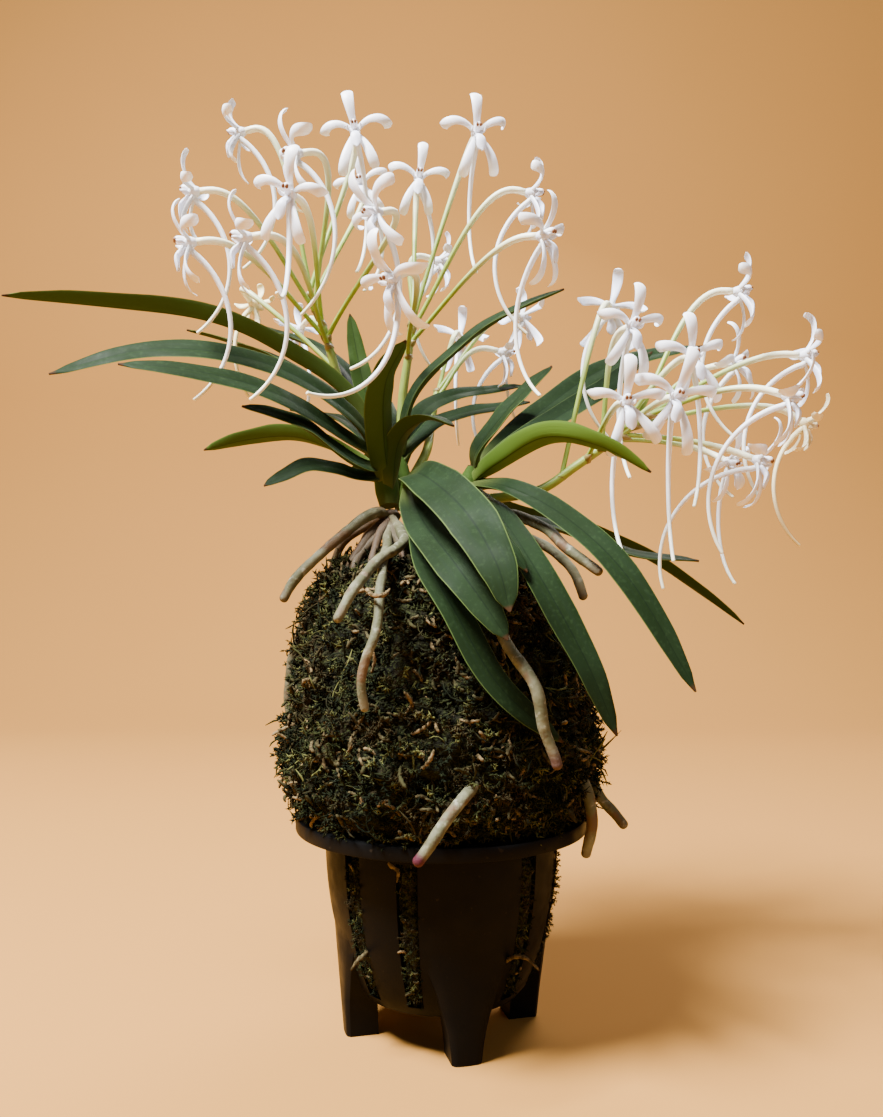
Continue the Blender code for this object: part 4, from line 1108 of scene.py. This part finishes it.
for name, line in STALKS.items():
    stalk = smooth_path(all_seen(line), STALK_STEPS + 1)
    fine = smooth_path(all_seen(line), 60, 1.0)
    skins = [tube(fine, blunted(fine, (1.5, 1.3, 1.0)), 14, fade=0.0, dry=0.1)]
    for spot in FLOWERS[name]:
        start = stalk[round(spot.stem_start * STALK_STEPS)]
        path = stem_path(start, spot, 30)
        skins.append(tube(path, STEM_RADII, 10, fade=1.0, dry=0.0))
        away = unit(path[3] - path[0])
        bract = np.array([start - away * 0.4, start + away * 1.6 - UP * 0.5, start + away * 3.4 - UP * 1.1])
        skins.append(tube(bract, [1.5, 1.0, 0.12], 8, fade=0.0, dry=0.85))
    piece(f"stalk_{name}", skins, green_stalk, [f"flower_stalk_{name}"])

# %% [markdown]
# ## The flowers
#
# A flower has five narrow white tepals, which are its petals and sepals, and all curl back. It
# also has a tongue-shaped lip with two small side lobes, a short column with two brown spots,
# and a long spur of nectar that runs back, down and round to the front. Chance gives each
# tepal its own curl from a fixed seed.

# %% The flower's parts
TEPAL_LENGTH = 12.8
TEPAL_THICKNESS = 0.75
TEPAL_LEAN = 34.0
# Each tepal's angle round the flower, its droop and curl, and its length and width.
TEPALS = (
    (0.0, 0.0, 76.0, 0.98, 3.8),
    (60.0, 84.0, 104.0, 0.96, 3.3),
    (150.0, 12.0, 66.0, 1.1, 3.3),
    (-150.0, -12.0, 66.0, 1.1, 3.3),
    (-60.0, -84.0, 104.0, 0.96, 3.3),
)
TEPAL_SHAPE = ((0, 0.2, 0.4, 0.6, 0.78, 0.9, 0.96, 1), (0.48, 0.58, 0.76, 0.92, 1.0, 0.98, 0.9, 0.62))
LIP_LENGTH = 6.4
LIP_WIDTH = 3.0
LIP_SHAPE = ((0, 0.12, 0.32, 0.55, 0.8, 0.93, 1), (0.55, 1.0, 0.8, 1.02, 1.12, 0.8, 0.2))
THROAT_RADIUS = 2.0
THROAT = ((-THROAT_BACK, 0.9), (-1.7, 1.15), (-0.9, 1.5), (0.0, 1.55), (0.9, 1.3), (1.4, 0.8), (1.2, 0.3))
SPUR_LENGTH = 44.0
SPUR_SWEEP = 106.0
SPUR_STEPS = 24
SPUR_RADII = (0.88, 0.72, 0.62, 0.54, 0.48, 0.42)
PETAL_ACROSS = np.array([-1.0, -0.8, -0.4, 0.0, 0.4, 0.8, 1.0])
PETAL_ROLL = 0.24


def petal_blade(path, ups, widths, thick, age, **marks):
    """A soft, fleshy strap whose margins roll back."""
    u, under = round_section(PETAL_ACROSS)
    half = column_of(spread(widths, len(path)) / 2)
    thick = column_of(spread(thick, len(path)))
    lateral = half * u * (1 - 0.1 * u**2)
    front = 0.1 * thick * (1 - u**2)
    back = -thick * (1 - u**2) ** 0.75 - 0.05
    height = np.where(under > 0.5, back, front) - PETAL_ROLL * half * u**2
    share = column_of(np.linspace(0, 1, len(path)))
    return blade(path, ups, lateral, height, along=share, across=u, under=under, age=age, **marks)


def tepal(centre, axes, angle, length, width, curl, age, droop, stations=22):
    """A strap that starts out from the throat, droops, and rolls back at its tip."""
    face, top, side = axes
    share = np.linspace(0, 1, stations)
    a = column_of(np.radians(angle + droop * share**1.5))
    out = top * np.cos(a) + side * np.sin(a)
    lean = column_of(np.radians(TEPAL_LEAN - curl * (0.62 * share + 0.85 * share**4)))
    step = np.cos(lean) * out + np.sin(lean) * face
    ups = np.cos(lean) * face - np.sin(lean) * out
    middle = (step[1:] + step[:-1]) / 2 * length / (stations - 1)
    path = centre + out[0] * THROAT_RADIUS * 0.5 + np.vstack([np.zeros(3), np.cumsum(middle, axis=0)])
    thick = TEPAL_THICKNESS * np.interp(share, (0, 0.3, 0.75, 1), (1.2, 0.9, 0.7, 0.3))
    return petal_blade(path, ups, width * np.interp(share, *TEPAL_SHAPE), thick, age)


def spur_skin(centre, axes, spot, age):
    """From under the throat, back and down, and round to the front."""
    face, top, _ = axes
    level = unit(face * (1, 1, 0))
    a = math.radians(spot.swing)
    back = -(level * math.cos(a) + np.cross(UP, level) * math.sin(a))
    point = centre - top * 2.4 - face * 0.4
    path = [centre - top * 0.8 + face * 0.3, point]
    for i in range(SPUR_STEPS):
        turn = math.radians(spot.slope + SPUR_SWEEP * (i + 0.5) / SPUR_STEPS)
        point = point + (back * math.cos(turn) - UP * math.sin(turn)) * SPUR_LENGTH * spot.size / SPUR_STEPS
        path.append(point)
    spur = smooth_path(path, 40, 0.5)
    return tube(spur, blunted(spur, SPUR_RADII), 10, age=age, spur=1.0)


# %% One whole flower
def flower_skins(spot, age, luck, ruffle):
    """The skins of all its parts, with some chance in its tepals."""
    centre, axes = flower_centre(spot), flower_axes(spot)
    face, top, side = axes
    round_face = circle(16, top, side)
    skins = [skin([centre + face * ahead + round_face * radius for ahead, radius in THROAT], age=age)]
    for angle, droop, curl, share, width in TEPALS:
        curl = curl * luck.uniform(0.82, 1.18)
        length = TEPAL_LENGTH * spot.size * share * luck.uniform(0.94, 1.06)
        angle = angle + luck.uniform(-8, 8)
        droop = droop * ruffle.uniform(0.7, 1.25) + ruffle.uniform(-10, 10)
        skins.append(tepal(centre, axes, angle, length, width * spot.size, curl, age, droop))
    skins += lip_skins(centre, axes, age) + column_skins(centre, axes, age)
    return [*skins, spur_skin(centre, axes, spot, age)]


def lip_skins(centre, axes, age):
    """A tongue with a waist, and a small lobe standing at each side of its foot."""
    face, top, side = axes
    root = centre - top * 0.5 + face * 0.9
    middle = root + (face * 0.8 - top * 0.6) * LIP_LENGTH * 0.6
    bends = [root, middle, root + (face * 0.55 - top) * LIP_LENGTH]
    widths = LIP_WIDTH * np.interp(np.linspace(0, 1, 18), *LIP_SHAPE)
    up = np.tile(face * 0.5 + top, (18, 1))
    skins = [petal_blade(smooth_path(bends, 18), up, widths, (1.4, 1.5, 1.2, 0.6), age, lip=1.0)]
    for way in (-1, 1):
        foot = root + side * way * 0.7 + face * 0.2
        bends = [foot, foot + side * way * 0.9 + face * 0.9 + top * 0.5, foot + side * way + face * 1.9 + top]
        up = np.tile(side * -way + top * 0.2, (8, 1))
        skins.append(petal_blade(smooth_path(bends, 8), up, (1.0, 1.5, 1.3, 0.3), (0.6, 0.5, 0.2), age))
    return skins


def column_skins(centre, axes, age):
    """A stub with a blunt cap, and a brown pollen spot at each side of the cap."""
    face, top, side = axes
    points = [centre + face * ahead + top * up for ahead, up in ((0.6, 0.5), (2.0, 1.2), (3.1, 1.1))]
    run = smooth_path(points, 12, 0.8)
    skins = [tube(run, blunted(run, (1.2, 1.0, 0.95)), 12, age=age)]
    across = column_of(np.linspace(-1.0, 1.0, 7))
    for way in (-1, 1):
        spot = points[-1] + side * way * 0.48 - face * 0.1 + top * 0.1
        bead = spot + (top * 0.62 + face * 0.1) * across
        skins.append(tube(bead, 0.42 * np.sqrt(1.03 - across[:, 0] ** 2), 10, eye=1.0))
    return skins


# %% [markdown]
# The petals are white with a soft, slightly see-through body, so light scatters a little way
# into them. A painted lavender shade lies on their undersides and along the middle of each
# strap. The oldest flowers have turned to a creamy yellow, and each spur is greener towards
# its tip, where the nectar is.

# %% The petal's finish
look = Finish("petal_white", (246, 246, 248), 0.45, 0.4)
along = look.mark("along")
look.fade(look.streaks(6.0, 2.0), 0.4, 0.7, 0.4, 224, 226, 234)
# Painted shade: a lavender grey on the undersides of the petals.
look.over(look.times(look.mark("under"), 0.7), 198, 203, 224)
look.fade(along, 0.35, 0.0, 0.5, 214, 216, 206)
# Painted shade: a lavender grey along the middle of each strap, fading towards its tip and margins.
middle = look.between(look.maths("ABSOLUTE", look.mark("across")), 0.75, 0.1, 0.0, 0.5)
look.over(look.times(middle, look.between(along, 1.0, 0.55)), 198, 202, 220)
look.over(look.times(look.mark("lip"), 0.6), 206, 212, 232)
look.over(look.times(look.mark("spur"), look.between(along, 0.3, 1.0, 0.15, 0.75)), 222, 218, 176)
look.over(look.mark("age"), 224, 206, 136)
look.over(look.mark("eye"), 104, 62, 28)
look.bump(look.streaks(14.0, 3.0), 0.1, 0.0003)
look.shader["Subsurface Weight"].default_value = 0.04
look.shader["Subsurface Scale"].default_value = 0.0012
look.shader["Subsurface Radius"].default_value = (1.0, 0.9, 0.75)
white_petal = look.done()

# %% Grow the flowers
luck, ruffle = random.Random(7), random.Random(11)
for name, spots in FLOWERS.items():
    skins = []
    for i, spot in enumerate(spots):
        skins += flower_skins(spot, FLOWER_AGES.get((name, i), 0.0), luck, ruffle)
    nodes = [f"bloom_{name}_{i + 1:02d}" for i in range(len(spots))]
    piece(f"flowers_{name}", skins, white_petal, nodes, 70)

# %% [markdown]
# ## Floor, light and camera
#
# The plant stands on a plain warm sweep: a floor that curves up into a backdrop with no edge.
# A strong soft light from above, on the left and in front, keeps the white petals bright. Two
# weak ones, from the right in front and from behind, soften the shadows on moss and pot.

# %% The floor
SWEEP_HALF_WIDTH = 1.6
SWEEP_BEND = 0.35
SWEEP_BEND_FROM = 0.55
run = [(-1.2, 0.0), (SWEEP_BEND_FROM, 0.0)]
for a in np.radians(np.arange(10, 91, 10)):
    run.append((SWEEP_BEND_FROM + SWEEP_BEND * math.sin(a), SWEEP_BEND - SWEEP_BEND * math.cos(a)))
run.append((SWEEP_BEND_FROM + SWEEP_BEND, 1.6))
points = [(x, y, z) for y, z in run for x in (-SWEEP_HALF_WIDTH, SWEEP_HALF_WIDTH)]
faces = [(2 * i, 2 * i + 1, 2 * i + 3, 2 * i + 2) for i in range(len(run) - 1)]
mesh = bpy.data.meshes.new("studio_sweep")
mesh.from_pydata(points, [], faces)
mesh.shade_smooth()
look = Finish("studio_sweep", (158, 111, 52), 0.8, 0.1)
look.patches(3, 2.0, 0.3, 0.7, 0.25, 152, 105, 47)
mesh.materials.append(look.done())
show("studio_sweep", mesh)

# %% The lights
LIGHTS_AIM = (0.0, 0.0, 0.14)
LIGHTS = {
    "upper_left": ((-0.4, -0.3, 0.98), 0.32, 84.0, (0.96, 0.98, 1.0)),
    "right_front": ((0.8, -0.7, 0.4), 0.6, 2.0, (0.9, 0.94, 1.0)),
    "behind": ((0.25, 0.55, 0.8), 0.5, 9.0, (1.0, 0.99, 0.97)),
}
for name, (place, width, power, colour) in LIGHTS.items():
    lamp = bpy.data.lights.new(name, "AREA")
    lamp.shape, lamp.size, lamp.energy, lamp.color = "DISK", width, power, colour
    made = show(name, lamp)
    made.location = place
    made.rotation_euler = (Vector(LIGHTS_AIM) - Vector(place)).to_track_quat("-Z", "Y").to_euler()

world = bpy.data.worlds.new("soft_room")
world.use_nodes = True
room_light = world.node_tree.nodes["Background"].inputs
room_light["Color"].default_value = (0.82, 0.9, 1.0, 1.0)
room_light["Strength"].default_value = 0.2
bpy.context.scene.world = world

# %% The camera
lens = bpy.data.cameras.new("front_view")
lens.sensor_width = 36.0
lens.lens = 31.75
lens.clip_start = 0.01
camera = show("front_view", lens)
camera.location = (POT_AXIS[0] * MM, (POT_AXIS[1] - VIEW_DISTANCE) * MM, VIEW_HEIGHT * MM)
camera.rotation_euler = (math.radians(VIEW_TILT), 0.0, 0.0)
bpy.context.scene.camera = camera
